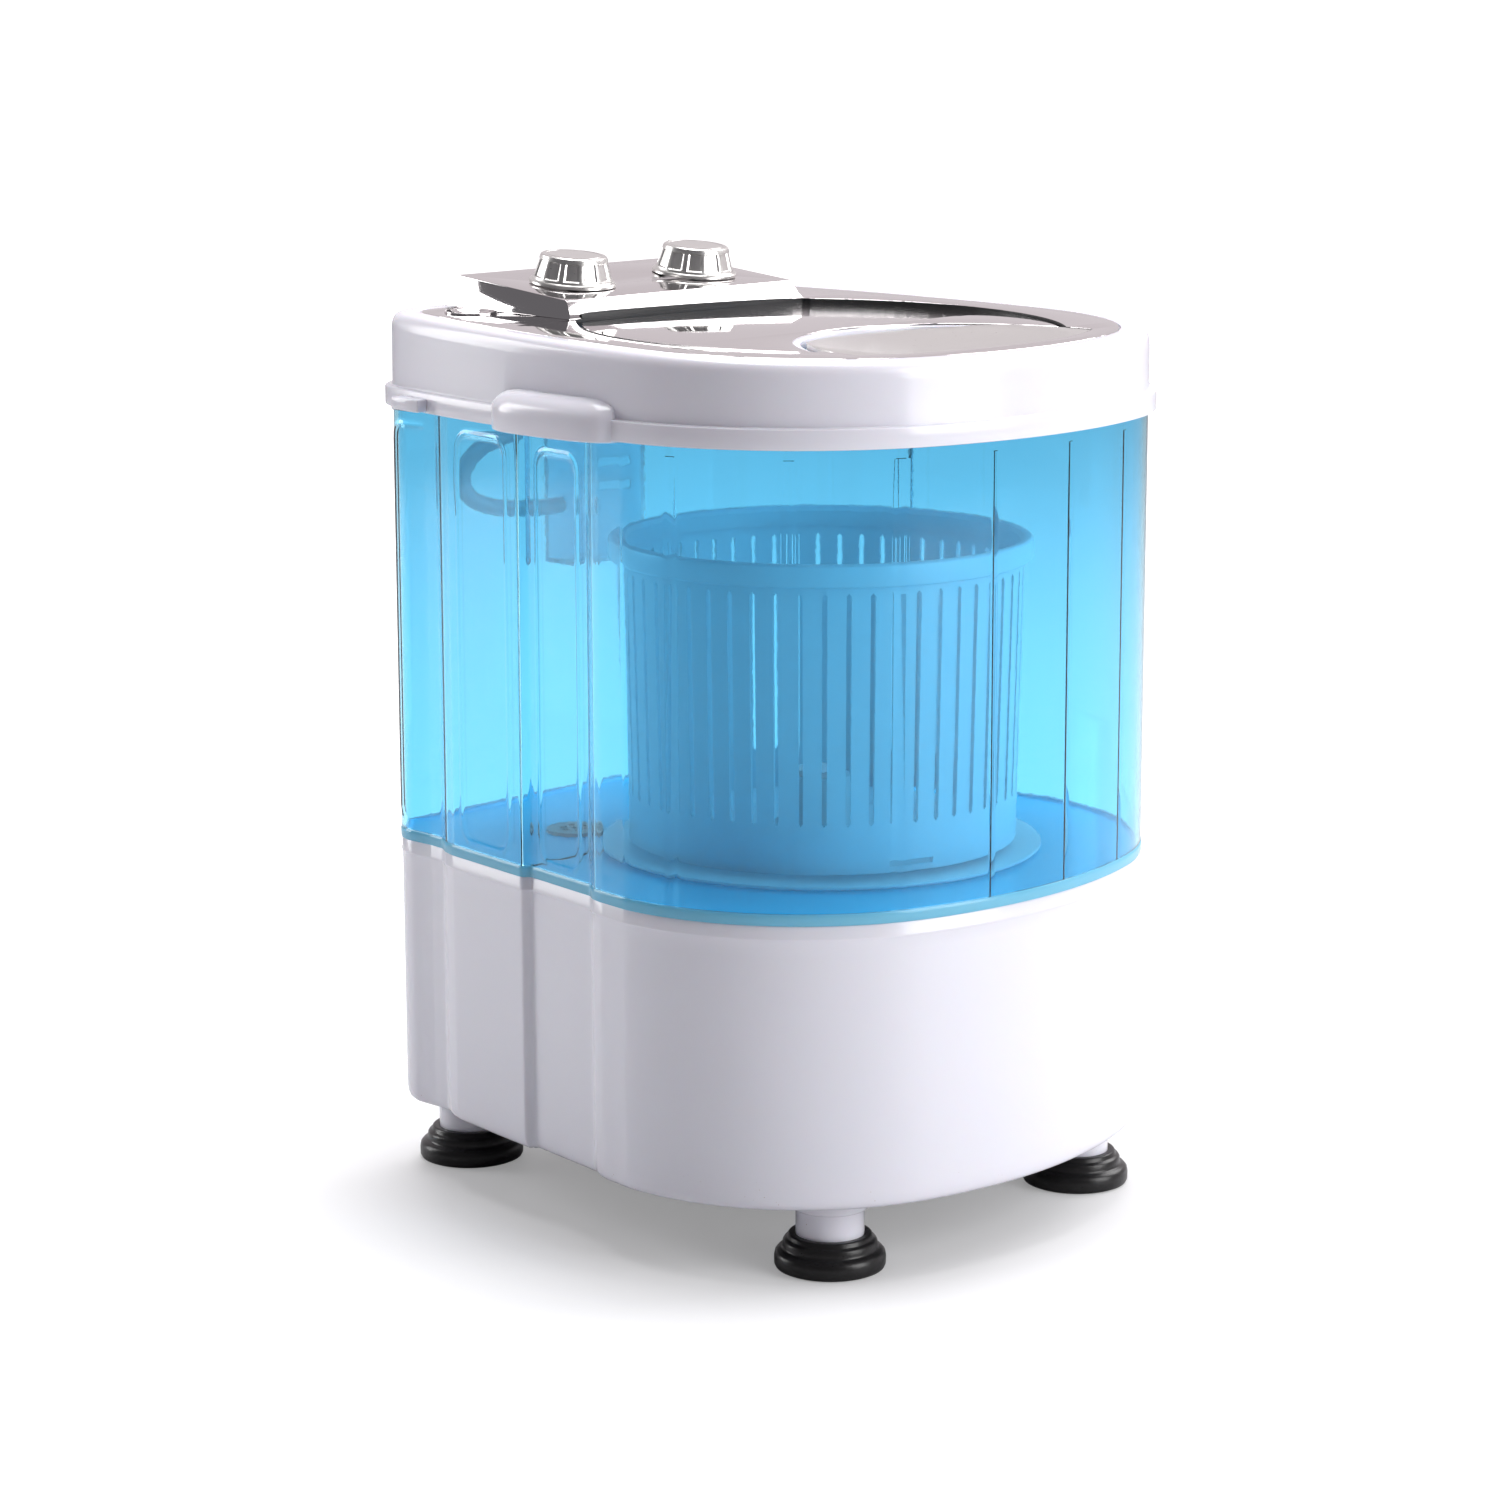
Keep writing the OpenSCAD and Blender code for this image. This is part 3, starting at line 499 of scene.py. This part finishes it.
def makeMaterial(name, finish):
    material = bpy.data.materials.new(name)
    material.use_nodes = True
    nodes, links = material.node_tree.nodes, material.node_tree.links
    shader = nodes["Principled BSDF"]
    where = nodes.new("ShaderNodeTexCoord")
    grain = nodes.new("ShaderNodeGroup")
    grain.node_tree = grainGroup
    grain.inputs["Scale"].default_value = finish["scale"]
    links.new(where.outputs["Object"], grain.inputs["Vector"])
    tone = nodes.new("ShaderNodeMix")
    tone.data_type = "RGBA"
    tone.inputs["A"].default_value = (*finish["tones"][0], 1)
    tone.inputs["B"].default_value = (*finish["tones"][1], 1)
    links.new(grain.outputs["Tone"], tone.inputs["Factor"])
    colour = tone.outputs["Result"]
    if "specks" in finish:
        specks = nodes.new("ShaderNodeGroup")
        specks.node_tree = specksGroup
        links.new(where.outputs["Object"], specks.inputs["Vector"])
        dirty = nodes.new("ShaderNodeMix")
        dirty.data_type = "RGBA"
        dirty.inputs["B"].default_value = (*finish["specks"], 1)
        links.new(specks.outputs["Mask"], dirty.inputs["Factor"])
        links.new(colour, dirty.inputs["A"])
        colour = dirty.outputs["Result"]
    links.new(colour, shader.inputs["Base Color"])
    rough = nodes.new("ShaderNodeMapRange")
    rough.inputs["To Min"].default_value, rough.inputs["To Max"].default_value = finish["rough"]
    links.new(grain.outputs["Grain"], rough.inputs["Value"])
    links.new(rough.outputs["Result"], shader.inputs["Roughness"])
    strength, height = (finish["wave"], "Tone") if "wave" in finish else (finish["bump"], "Grain")
    bump = nodes.new("ShaderNodeBump")
    bump.inputs["Strength"].default_value = strength
    bump.inputs["Distance"].default_value = 0.001
    links.new(grain.outputs[height], bump.inputs["Height"])
    links.new(bump.outputs["Normal"], shader.inputs["Normal"])
    for socket, value in finish["sockets"].items():
        shader.inputs[socket].default_value = value
    if "lampTint" in finish:
        # light from lamps passes through, tinted, in place of slow refracted paths
        clear = nodes.new("ShaderNodeBsdfTransparent")
        clear.inputs["Color"].default_value = (*finish["lampTint"], 1)
        ray = nodes.new("ShaderNodeLightPath")
        either = nodes.new("ShaderNodeMath")
        either.operation = "MAXIMUM"
        blend = nodes.new("ShaderNodeMixShader")
        links.new(ray.outputs["Is Shadow Ray"], either.inputs[0])
        links.new(ray.outputs["Is Diffuse Ray"], either.inputs[1])
        links.new(either.outputs[0], blend.inputs[0])
        links.new(shader.outputs[0], blend.inputs[1])
        links.new(clear.outputs[0], blend.inputs[2])
        links.new(blend.outputs[0], nodes["Material Output"].inputs["Surface"])
    return material


paint = {name: makeMaterial(name, finish) for name, finish in finishes.items()}
print("materials made")

slotPaint = {
    "white_plastic": "whitePlastic", "tub_plastic": "tubPlastic", "basket_plastic": "basketPlastic",
    "mirror_plastic": "mirror", "satin_silver": "satinSilver", "black_rubber": "blackRubber",
    "black_plastic": "blackPlastic", "grey_plastic": "greyPlastic", "steel": "steel",
    "motor_paint": "motorPaint", "bearing_steel": "bearingSteel", "hose_plastic": "hosePlastic",
}
for row in frame["record"]["subparts"]:
    node = frame["nodes"][row["node"]]
    for materialSlot in node.material_slots:
        materialSlot.material = paint[slotPaint[row["material_slot"]]]

# base
base = {
    "wall": 2.5,
    "profile": [  # inset, height
        (8, 40), (5.6, 40.1), (3.6, 40.8), (2.1, 42.2), (1.2, 44.2), (0.7, 47), (0.5, 52), (0.35, 120), (0.3, 180),
        (0.3, 186.6), (0.0, 187.1), (-0.25, 187.6), (-0.25, 188.4), (0.0, 188.9), (0.05, 194.3), (0.5, 195)],
    "inner": [(2.6, 195), (2.9, 192), (3.0, 60), (5, 46), (8, 43.4)],
}
rings = [bodyRing(inset, z) for inset, z in base["profile"] + base["inner"]]
shell = loftRings(rings, loop=True)
finishPiece(shell, "baseShell", "cabinet", paint["whitePlastic"], 40, ["base_shell"])
print("base made")

# feet
foot = {"corners": ("front_left", "front_right", "back_left", "back_right"),
        "pad": [(0, 2.4), (20, 2.4), (22.5, 1.2), (24, 0), (27.6, 0), (29.2, 0.7), (29.9, 2.2), (30, 6), (29.5, 8.6),
                (28.2, 10.1), (26.4, 10.7), (25.7, 11.2), (25.5, 12.2), (25.3, 14.6), (24.6, 15.7), (23.4, 16.1),
                (22.9, 16.6), (22.6, 18.2), (22, 18.9), (21.3, 19), (18.8, 19), (18.6, 16.2), (0, 16.2)],
        "stem": [(0, 16.3), (18.4, 16.3), (18.45, 20), (18.5, 32.4), (18.9, 33.2), (20.2, 33.4), (20.8, 33.9),
                 (21, 34.8), (21, 39.8), (0, 39.8)]}
for corner in foot["corners"]:
    low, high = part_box(corner + "_foot_pad")
    x, y = (low[0] + high[0]) / 2 / mm, (low[1] + high[1]) / 2 / mm
    pad = turnProfile(foot["pad"], x, y, 72)
    name = corner.replace("_", "-")
    finishPiece(pad, name + "-pad", "cabinet", paint["blackRubber"], 50, [corner + "_foot_pad"])
    stem = turnProfile(foot["stem"], x, y, 72)
    finishPiece(stem, name + "-stem", "cabinet", paint["whitePlastic"], 40, [corner + "_foot_stem"])
print("feet made")

# tub
tub = {
    "wall": 2.5, "panelFoot": 206,
    "panels": [  # side, low y, high y, top z, corner radius
        (-1, 1, 38, 430, 9), (1, 1, 38, 430, 9), (-1, 151, 176, 432, 9),
        (1, 151, 176, 432, 9), (-1, 62, 108, 433, 10), (1, 62, 108, 433, 10)],
    "ridge": 0.55, "ridgeWidth": 1.0,
    "ribs": [(-149, -70), (-123, -113), (-89, -148), (-40, -172), (16, -176), (70, -160),
             (-60, 187), (0, 187), (62, 187)],
    "ribHeight": 0.7,
}


def embossAt(z):
    # ridge lines round each pressed panel on the side walls
    lift = np.zeros(len(bodyPoints))
    x, y = bodyPoints[:, 0], bodyPoints[:, 1]
    for side, low, high, top, radius in tub["panels"]:
        halfY, halfZ = (high - low) / 2, (top - tub["panelFoot"]) / 2
        dy = np.abs(y - (low + high) / 2) - (halfY - radius)
        dz = abs(z - (top + tub["panelFoot"]) / 2) - (halfZ - radius)
        far = np.hypot(np.maximum(dy, 0), max(dz, 0)) + np.minimum(np.maximum(dy, dz), 0) - radius
        ridge = tub["ridge"] * np.exp(-(far / tub["ridgeWidth"]) ** 2)
        lift += np.where((x * side > 90) & (np.abs(dy) < halfY + 20), ridge, 0)
    return lift


def ribsAt(z):
    lift = np.zeros(len(bodyPoints))
    if z < 437:
        for x, y in tub["ribs"]:
            gap = np.hypot(bodyPoints[:, 0] - x, bodyPoints[:, 1] - y)
            near = gap.argmin()
            lift[near] += tub["ribHeight"]
    return lift


heights = [203, 206, 207.2, 208.4, 210, 214, 225, 300, 380, 410, 416, 419, 421, 423, 425, 426.5, 428, 429,
           430, 431, 432, 433, 434, 435.5, 437, 441]
rings = [bodyRing(0, 201.3)]
rings += [bodyRing(0, z, embossAt(z)) for z in heights]
rings += [bodyRing(0, 449.6), bodyRing(0.4, 450), bodyRing(2.1, 450), bodyRing(2.5, 449.6)]
rings += [bodyRing(tub["wall"], z, -ribsAt(z)) for z in (440, 437.2, 436.8, 400, 320, 240, 206, 201.3)]
tubWall = loftRings(rings, loop=True)
finishPiece(tubWall, "tubWall", "cabinet", paint["tubPlastic"], 40, ["tub"])
skirtProfile = [(2.6, 195), (0.3, 195), (-0.3, 195.2), (-0.5, 195.8), (-0.5, 199.6), (-0.3, 200.6), (0.1, 201.2),
                (2.6, 201.2)]
skirt = loftRings([bodyRing(i, z) for i, z in skirtProfile], loop=True)
finishPiece(skirt, "tubSkirt", "cabinet", paint["tubSkirt"], 40)
tubFloor = loftRings([bodyRing(i, z) for i, z in ((2.6, 195.05), (2.6, 200.4), (3.0, 199.6), (4.2, 199), (8, 199))])
finishPiece(tubFloor, "tubFloor", "cabinet", paint["tubFloor"], 40)
print("tub made")

# deck
deck = {
    "outer": [(2.4, 442.7), (0.8, 442.7), (0.2, 443.0), (0, 443.7), (0, 452.5), (0.25, 453.3), (0.9, 453.7),
              (3.4, 453.7), (4.0, 454.1), (4.1, 455)],
    "top": [(4.3, 9), (4.5, 6.2), (5.0, 4.2), (6.0, 2.3), (7.4, 1.0), (9.2, 0.25), (11, 0), (19.6, 0), (20.1, 0.2),
            (20.3, 0.6), (20.3, 2.4), (27, 2.4), (27, 8), (8, 8), (7, 9)],
    "inner": [(7, 452), (2.6, 449.8), (2.4, 449)],
}


def deckRing(inset, z=None, below=None):
    flat = np.array(deckOutline(inset))
    tops = [z if below is None else deckTop(y, below) for x, y in flat]
    return np.column_stack([flat, tops])


rings = [deckRing(i, z) for i, z in deck["outer"]] + [deckRing(i, None, b) for i, b in deck["top"]]
rings += [deckRing(i, z) for i, z in deck["inner"]]
cover = loftRings(rings, loop=True)
for side in (-1, 1):
    x = sorted((side * 168, side * 200))
    cutAway(cover, block((x[0], -27, 430), (x[1], 49, 457.5), 0.3, 1))


lid = {"radius": 131, "hingeReach": 94, "dishAway": 119, "squareFrom": 72}


def lidHole(radius, dishRadius, backY):
    # the largest reach from the basket's axis inside the lid circle, the dish circle or the box at the hinge line
    edge = deckOutline(35)
    corner = math.sqrt(lid["radius"] ** 2 - lid["hingeReach"] ** 2) + radius - lid["radius"]
    loop = []
    for i in range(720):
        angle = math.radians(i / 2)
        dx, dy = math.cos(angle), math.sin(angle)
        reach = radius
        if dy < 0:
            middle = lid["dishAway"] * -dy
            inside = dishRadius ** 2 - lid["dishAway"] ** 2 * dx ** 2
            if inside > 0:
                reach = max(reach, middle + math.sqrt(inside))
        if dy > 0:
            reach = min(max(reach, corner / max(abs(dx), 0.01)), (backY - cabinet["axisY"]) / dy)
            if reach * dy < lid["squareFrom"]:
                reach = radius
        for (ax, ay), (bx, by) in zip(edge, edge[1:] + edge[:1]):
            ay, by = ay - cabinet["axisY"], by - cabinet["axisY"]
            cross = dx * (by - ay) - dy * (bx - ax)
            if abs(cross) > 1e-9:
                t = (ax * (by - ay) - ay * (bx - ax)) / cross
                u = (ax * dy - ay * dx) / cross
                if t > 0 and -1e-9 <= u <= 1 + 1e-9:
                    reach = min(reach, t)
        loop.append((dx * reach, cabinet["axisY"] + dy * reach))
    return loop


def lidLoop(radius, biteRadius, backY):
    away = lid["dishAway"]
    phi = math.degrees(math.acos((radius ** 2 + away ** 2 - biteRadius ** 2) / (2 * radius * away)))
    back = math.degrees(math.asin((backY - cabinet["axisY"]) / radius))
    dishY = cabinet["axisY"] - away
    right = arc(0, cabinet["axisY"], radius, -90 + phi, back, 70)
    left = arc(0, cabinet["axisY"], radius, 180 - back, 270 - phi, 70)
    tipX, tipY = right[0]
    start = math.degrees(math.atan2(tipY - dishY, -tipX))
    end = math.degrees(math.atan2(tipY - dishY, tipX))
    bite = arc(0, dishY, biteRadius, start, end, 60)[1:-1]
    return right + left + bite


bay = [(-82, 92), (82, 92), (82, 166), (-82, 166)]
cupHole = arc(-109, 142, 13.95, 0, 354, 59)
plate = cutPlate(deckOutline(26.5), [lidHole(134.5, 96, 78.2), bay, cupHole], -8, -2.3, 0.3)
place(plate, deckMatrix)
cover = joinPieces([cover, plate])
finishPiece(cover, "topCover", "cabinet", paint["whitePlastic"], 32, ["top_cover"])

panel = cutPlate(deckOutline(21), [lidHole(134, 96, 78.2), bay, cupHole], -2.2, 0, 0.5)
place(panel, deckMatrix)
finishPiece(panel, "mirrorPanel", "cabinet", paint["mirror"], 30, ["top_panel"])

lidPlate = cutPlate(lidLoop(131, 103, 72), [], -3.1, -1.0, 0.45)
place(lidPlate, deckMatrix)
finishPiece(lidPlate, "lidPlate", "lid_leaf", paint["mirror"], 30, ["lid"])

# a thin black ring round the lid opening: painted shade standing in for the shadow on the gap's wall
gapShadeRing = cutPlate(lidHole(134.15, 96.15, 78.35), [lidHole(133.95, 95.95, 78.15)], -6, -0.15, 0.1)
place(gapShadeRing, deckMatrix)
finishPiece(gapShadeRing, "lidGapShadeRing", "cabinet", paint["blackPlastic"], 30)

# black strip under the console's front, highest at the left: painted shade standing in for the shadow gap there
shadeStripFace = [(-85, -1), (85, -1), (85, 0.3), (60, 1.2), (30, 2.0), (0, 2.6), (-30, 3.0), (-60, 3.3), (-80, 3.1),
             (-85, 2.4)]
shadeStrip = cutPlate(shadeStripFace, [], -80.6, -78.2, 0.15)
place(shadeStrip, deckMatrix @ Matrix.Rotation(math.radians(90), 4, "X"))
finishPiece(shadeStrip, "consoleShadeStrip", "cabinet", paint["blackPlastic"], 30)

for node, name, bevel, slotName, angle in (
        ("control_console", "console", 1.1, "mirror_plastic", 20),
        ("finger_dish", "fingerDish", 0.5, "satin_silver", 25),
        ("lid_liner", "lidLiner", 0.5, "white_plastic", 30), ("overflow_box", "overflowBox", 0.8, "tub_plastic", 30)):
    copied = copyNode(node, bevel, 3, angle)
    look = paint["palePlastic" if node == "overflow_box" else slotPaint[slotName]]
    finishPiece(copied, name, "lid_leaf" if node == "lid_liner" else "cabinet", look, 32, [node])
print("deck made")

# grips and hook
grip = {
    "path": [(171.2, 55), (178, 52), (184.5, 41), (187.5, 25), (189, 0), (188.5, -21), (186, -33), (180.5, -40.5)],
    "bottom": 441.6, "shoulder": 452.6, "top": 463.4, "reach": 14, "middle": 5,
}


def smoothPath(points, count):
    # Catmull-Rom through the points
    pts = [Vector(p) for p in points]
    pts = [pts[0] * 2 - pts[1]] + pts + [pts[-1] * 2 - pts[-2]]
    result = []
    for i in range(1, len(pts) - 2):
        a, b, c, d = pts[i - 1:i + 3]
        for k in range(count):
            t = k / count
            curve = (2 * b) + (c - a) * t + (2 * a - 5 * b + 4 * c - d) * t * t + (3 * b - a - 3 * c + d) * t ** 3
            result.append(tuple(0.5 * curve))
    return result + [tuple(pts[-2])]


gripOuter = smoothPath(grip["path"], 6)


def gripRing(inward, z, innerX=170):
    loop = []
    for x, y in gripOuter:
        px = x - inward
        py = grip["middle"] + (y - grip["middle"]) * (1 - inward * 0.016)
        loop.append((max(px, innerX + 0.4), py, z))
    ys = [loop[-1][1] + (loop[0][1] - loop[-1][1]) * i / 12 for i in range(13)]
    return loop + [(innerX - 1.5, y, z) for y in ys]


for side, name in ((-1, "left"), (1, "right")):
    bottom, shoulder, rise = grip["bottom"], grip["shoulder"], grip["top"] - grip["shoulder"]
    rows = [gripRing(1.2, bottom), gripRing(0.3, bottom + 0.4), gripRing(0, bottom + 1.5), gripRing(0, shoulder)]
    for step in range(1, 9):
        angle = math.radians(90 * step / 8)
        rows.append(gripRing(grip["reach"] * (1 - math.cos(angle)), shoulder + rise * math.sin(angle)))
    handle = loftRings([[(side * x, y, z) for x, y, z in row] for row in rows])
    low, high = sorted((side * 160, side * 184.5))
    cutAway(handle, block((low, -23, 430), (high, 35, 454), 2.5, 3))
    finishPiece(handle, name + "Grip", "cabinet", paint["whitePlastic"], 38, [name + "_grip"])
hook = copyNode("hose_hook", 0.8, 3)
finishPiece(hook, "hoseHook", "cabinet", paint["whitePlastic"], 35, ["hose_hook"])
print("grips made")

# knobs
knob = {"panels": 12, "flat": 0.76, "cut": 0.75, "x": 49, "y": 123, "tilt": 5.99}


def knobRing(radius, z, carve):
    loop = []
    for i in range(knob["panels"] * 12):
        angle = 2 * math.pi * i / (knob["panels"] * 12)
        within = (i % 12 - 5.5) / 6
        depth = carve * knob["cut"] * min(1, max(0, (knob["flat"] - abs(within)) * 7))
        sector = math.cos(within * math.pi / knob["panels"])
        flatter = radius * (1 - 0.8 * carve * (1 - math.cos(math.pi / knob["panels"]) / sector) * 0.5)
        loop.append(((flatter - depth) * math.cos(angle), (flatter - depth) * math.sin(angle), z))
    return loop


def makeKnob():
    # radius, height, and 1 where the side is cut into panels
    rows = [(23.2, 0.5, 0), (24.2, 0.5, 0), (24.5, 0.8, 0), (24.5, 2.0, 0), (24.1, 2.5, 0), (23.0, 2.8, 0),
            (22.7, 3.2, 0), (22.4, 4.2, 0), (22.25, 4.8, 1), (20.2, 11.6, 1), (19.6, 13.6, 1), (19.4, 14.2, 0),
            (19.1, 15.4, 0),
            (18.7, 16.4, 0), (18.0, 16.95, 0), (17.2, 17.0, 0), (15.8, 17.0, 0), (15.6, 16.75, 0), (15.2, 16.75, 0),
            (15.0, 17.0, 0)]
    piece = loftRings([knobRing(r, z, c) for r, z, c in rows])
    tick = block((-0.5, 15.7, 16.7), (0.5, 17.6, 17.35), 0.15, 1)
    place(tick, Matrix.Rotation(math.radians(20), 4, "Z"))
    return joinPieces([piece, tick])


knobHeight = 10 + (17.3 - 10) / 88 * (knob["y"] - 85)
for side, name in ((-1, "wash"), (1, "spin")):
    dial = makeKnob()
    slope = math.radians(knob["tilt"] - cabinet["deckTilt"])
    spot = Matrix.Translation((side * knob["x"] * mm, knob["y"] * mm, knobHeight * mm))
    place(dial, deckMatrix @ spot @ Matrix.Rotation(slope, 4, "X"))
    finishPiece(dial, name + "Knob", name + "_dial", paint["satinSilver"], 28, [name + "_knob"])
print("knobs made")

# inlet cup and hose
inletHose.data.materials.append(paint["hosePlastic"])
cup = copyNode("inlet_cup", 0.3, 2, 40, 0.1)
finishPiece(cup, "inletCup", "cabinet", paint["mirror"], 35, ["inlet_cup"])

# basket
basket = {"slots": 54, "slotWidth": 2.8, "wallBottom": 108.5, "wallTop": 112, "low": 205, "high": 362, "wall": 2.4,
          "slotLow": 232, "slotHigh": 358, "notches": (-111, 9, 129)}


def makeBasketWall():
    # columns come in pairs that bound each slot; the slot faces are deleted, then the wall gets its thickness
    half = math.degrees(basket["slotWidth"] / 2 / 110)
    slotPitch = 360 / basket["slots"]
    angles = []
    for i in range(basket["slots"]):
        middle = slotPitch * (i + 0.5)
        angles += [middle - half, middle - half * 0.4, middle + half * 0.4, middle + half,
                   middle + half + (slotPitch - 2 * half) / 2]
    zs = [205.6, 212, basket["slotLow"], basket["slotLow"] + 1, 262, 295, 328,
          basket["slotHigh"] - 1, basket["slotHigh"], 362]
    rings = []
    for z in zs:
        t = (z - basket["low"]) / (basket["high"] - basket["low"])
        radius = basket["wallBottom"] + (basket["wallTop"] - basket["wallBottom"]) * t
        rings.append([(radius * math.cos(math.radians(a)), cabinet["axisY"] + radius * math.sin(math.radians(a)), z)
                      for a in angles])
    piece = loftRings(rings, cap=False)
    editAll(piece)
    bpy.ops.mesh.select_all(action="DESELECT")
    mesh = bmesh.from_edit_mesh(piece.data)
    for face in mesh.faces:
        middle = face.calc_center_median() / mm
        bearing = math.degrees(math.atan2(middle.y - cabinet["axisY"], middle.x))
        angle = bearing % slotPitch
        off = abs(angle - slotPitch / 2)
        inner = basket["slotLow"] + 1 < middle.z < basket["slotHigh"] - 1
        ends = basket["slotLow"] < middle.z < basket["slotHigh"] and off < half * 0.4
        around = min(abs((bearing - a + 180) % 360 - 180) for a in basket["notches"])
        face.select = (off < half and (inner or ends)) or (around < 6.2 and middle.z < 213)
    bmesh.update_edit_mesh(piece.data)
    bpy.ops.mesh.delete(type="FACE")
    objectMode()
    return addModifier(piece, "SOLIDIFY", thickness=basket["wall"] * mm, offset=-1, use_even_offset=True)


wall = makeBasketWall()
rimProfile = [(109.8, 361), (112.4, 361), (115.4, 361.4), (116.4, 362.2), (116.7, 363.4), (116.7, 371.4), (116.3, 373),
              (115.2, 373.9), (114, 374), (112.4, 374), (111.2, 373.4), (110.6, 372.2), (109.8, 371)]
rim = turnProfile(rimProfile, 0, cabinet["axisY"], 180)
bottomProfile = [(27, 205), (105, 205), (107.4, 205.1), (108.5, 205.8), (108.6, 209), (106.2, 209), (104, 208.4),
                 (100, 208), (74, 208), (72, 209.4), (69, 209.4), (67, 208), (29.5, 208), (29, 211), (27, 211)]
bottom = turnProfile(bottomProfile, 0, cabinet["axisY"], 144)
basketPiece = joinPieces([wall, rim, bottom])
finishPiece(basketPiece, "spinBasket", "basket", paint["basketPlastic"], 30, ["spin_basket"])

plateProfile = [(6.1, 200), (120.5, 200), (122, 200.3), (122.8, 201.2), (122.6, 202.2), (121.4, 202.5), (112, 202.5),
                (70.5, 202.5), (70, 204.9), (60, 204.9), (59.5, 202.5), (30, 202.5), (25.5, 203.4), (24, 206),
                (17.3, 237), (16.4, 238.4), (14, 238.5), (6.1, 238.5)]
plateRing = turnProfile(plateProfile, 0, cabinet["axisY"], 144)
finishPiece(plateRing, "washPlate", "drive", paint["basketPlastic"], 30, ["pulsator"])
print("basket made")

# floor, with painted light glowing from it and a painted shade round the base; light
deselectAll()
bpy.ops.mesh.primitive_circle_add(vertices=96, radius=90, fill_type="NGON", location=(0, 0, 0))
floor = bpy.context.object
floor.name = "floor"
floorPaintedGlow = bpy.data.materials.new("floorPaintedGlow")
floorPaintedGlow.use_nodes = True
nodes, links = floorPaintedGlow.node_tree.nodes, floorPaintedGlow.node_tree.links
shader = nodes["Principled BSDF"]
shader.inputs["Base Color"].default_value = (0.62, 0.62, 0.63, 1)
shader.inputs["Roughness"].default_value = 0.6
shader.inputs["Emission Color"].default_value = (1, 1, 1, 1)
# painted light: the floor glows for camera rays, and at 0.45 for rays seen through the tub; the glow drops to 0.25
# within 0.2 m of the origin and rises to full at 0.55 m, a painted shade round the base
ray = nodes.new("ShaderNodeLightPath")
paintedGlow = nodes.new("ShaderNodeMath")
paintedGlow.operation = "MULTIPLY"
far = nodes.new("ShaderNodeTexCoord")
reach = nodes.new("ShaderNodeVectorMath")
reach.operation = "LENGTH"
fade = nodes.new("ShaderNodeMapRange")
fade.inputs["From Min"].default_value = 0.2
fade.inputs["From Max"].default_value = 0.55
fade.inputs["To Min"].default_value = 0.25
fade.inputs["To Max"].default_value = 1.0
links.new(far.outputs["Object"], reach.inputs[0])
links.new(reach.outputs["Value"], fade.inputs["Value"])
seen = nodes.new("ShaderNodeMath")
seen.operation = "MULTIPLY_ADD"
seen.inputs[1].default_value = 0.45
links.new(ray.outputs["Is Transmission Ray"], seen.inputs[0])
links.new(ray.outputs["Is Camera Ray"], seen.inputs[2])
links.new(seen.outputs[0], paintedGlow.inputs[0])
links.new(fade.outputs["Result"], paintedGlow.inputs[1])
links.new(paintedGlow.outputs[0], shader.inputs["Emission Strength"])
floor.data.materials.append(floorPaintedGlow)


def softbox(name, spot, aim, size, power):
    data = bpy.data.lights.new(name, "AREA")
    data.shape = "RECTANGLE"
    data.size, data.size_y = size
    data.energy = power
    lamp = bpy.data.objects.new(name, data)
    turned = (Vector(aim) - Vector(spot)).to_track_quat("-Z", "Y").to_matrix().to_4x4()
    lamp.matrix_world = Matrix.Translation(spot) @ turned
    bpy.context.scene.collection.objects.link(lamp)


lamps = {
    "keyBox": ((0.7, -2.6, 1.3), (0, 0, 0.3), (1.6, 2.0), 60),
    "leftBox": ((-1.2, 2.7, 1.2), (0, 0, 0.25), (1.0, 1.8), 34),
    "rightBox": ((2.2, -0.6, 2.1), (0, 0, 0.4), (1.9, 1.7), 52),
    "topBox": ((0.3, 0.3, 2.8), (0, 0, 0.3), (1.6, 1.6), 60),
}
for name, (spot, aim, size, power) in lamps.items():
    softbox(name, spot, aim, size, power)

bpy.context.scene.view_settings.view_transform = "Standard"
world = bpy.data.worlds.new("studio")
bpy.context.scene.world = world
world.use_nodes = True
nodes, links = world.node_tree.nodes, world.node_tree.links
where = nodes.new("ShaderNodeTexCoord")
# a pale room to the right and behind, a dim one in front and to the left
facing = nodes.new("ShaderNodeVectorMath")
facing.operation = "DOT_PRODUCT"
facing.inputs[1].default_value = (0.86, 0.40, 0.30)
ramp = nodes.new("ShaderNodeValToRGB")
ramp.color_ramp.elements[0].position = 0.25
ramp.color_ramp.elements[0].color = (0.15, 0.145, 0.155, 1)
ramp.color_ramp.elements[1].position = 0.62
ramp.color_ramp.elements[1].color = (0.68, 0.625, 0.65, 1)
links.new(where.outputs["Generated"], facing.inputs[0])
links.new(facing.outputs["Value"], ramp.inputs["Fac"])
links.new(ramp.outputs["Color"], nodes["Background"].inputs["Color"])
nodes["Background"].inputs["Strength"].default_value = 1.0
print("studio made")
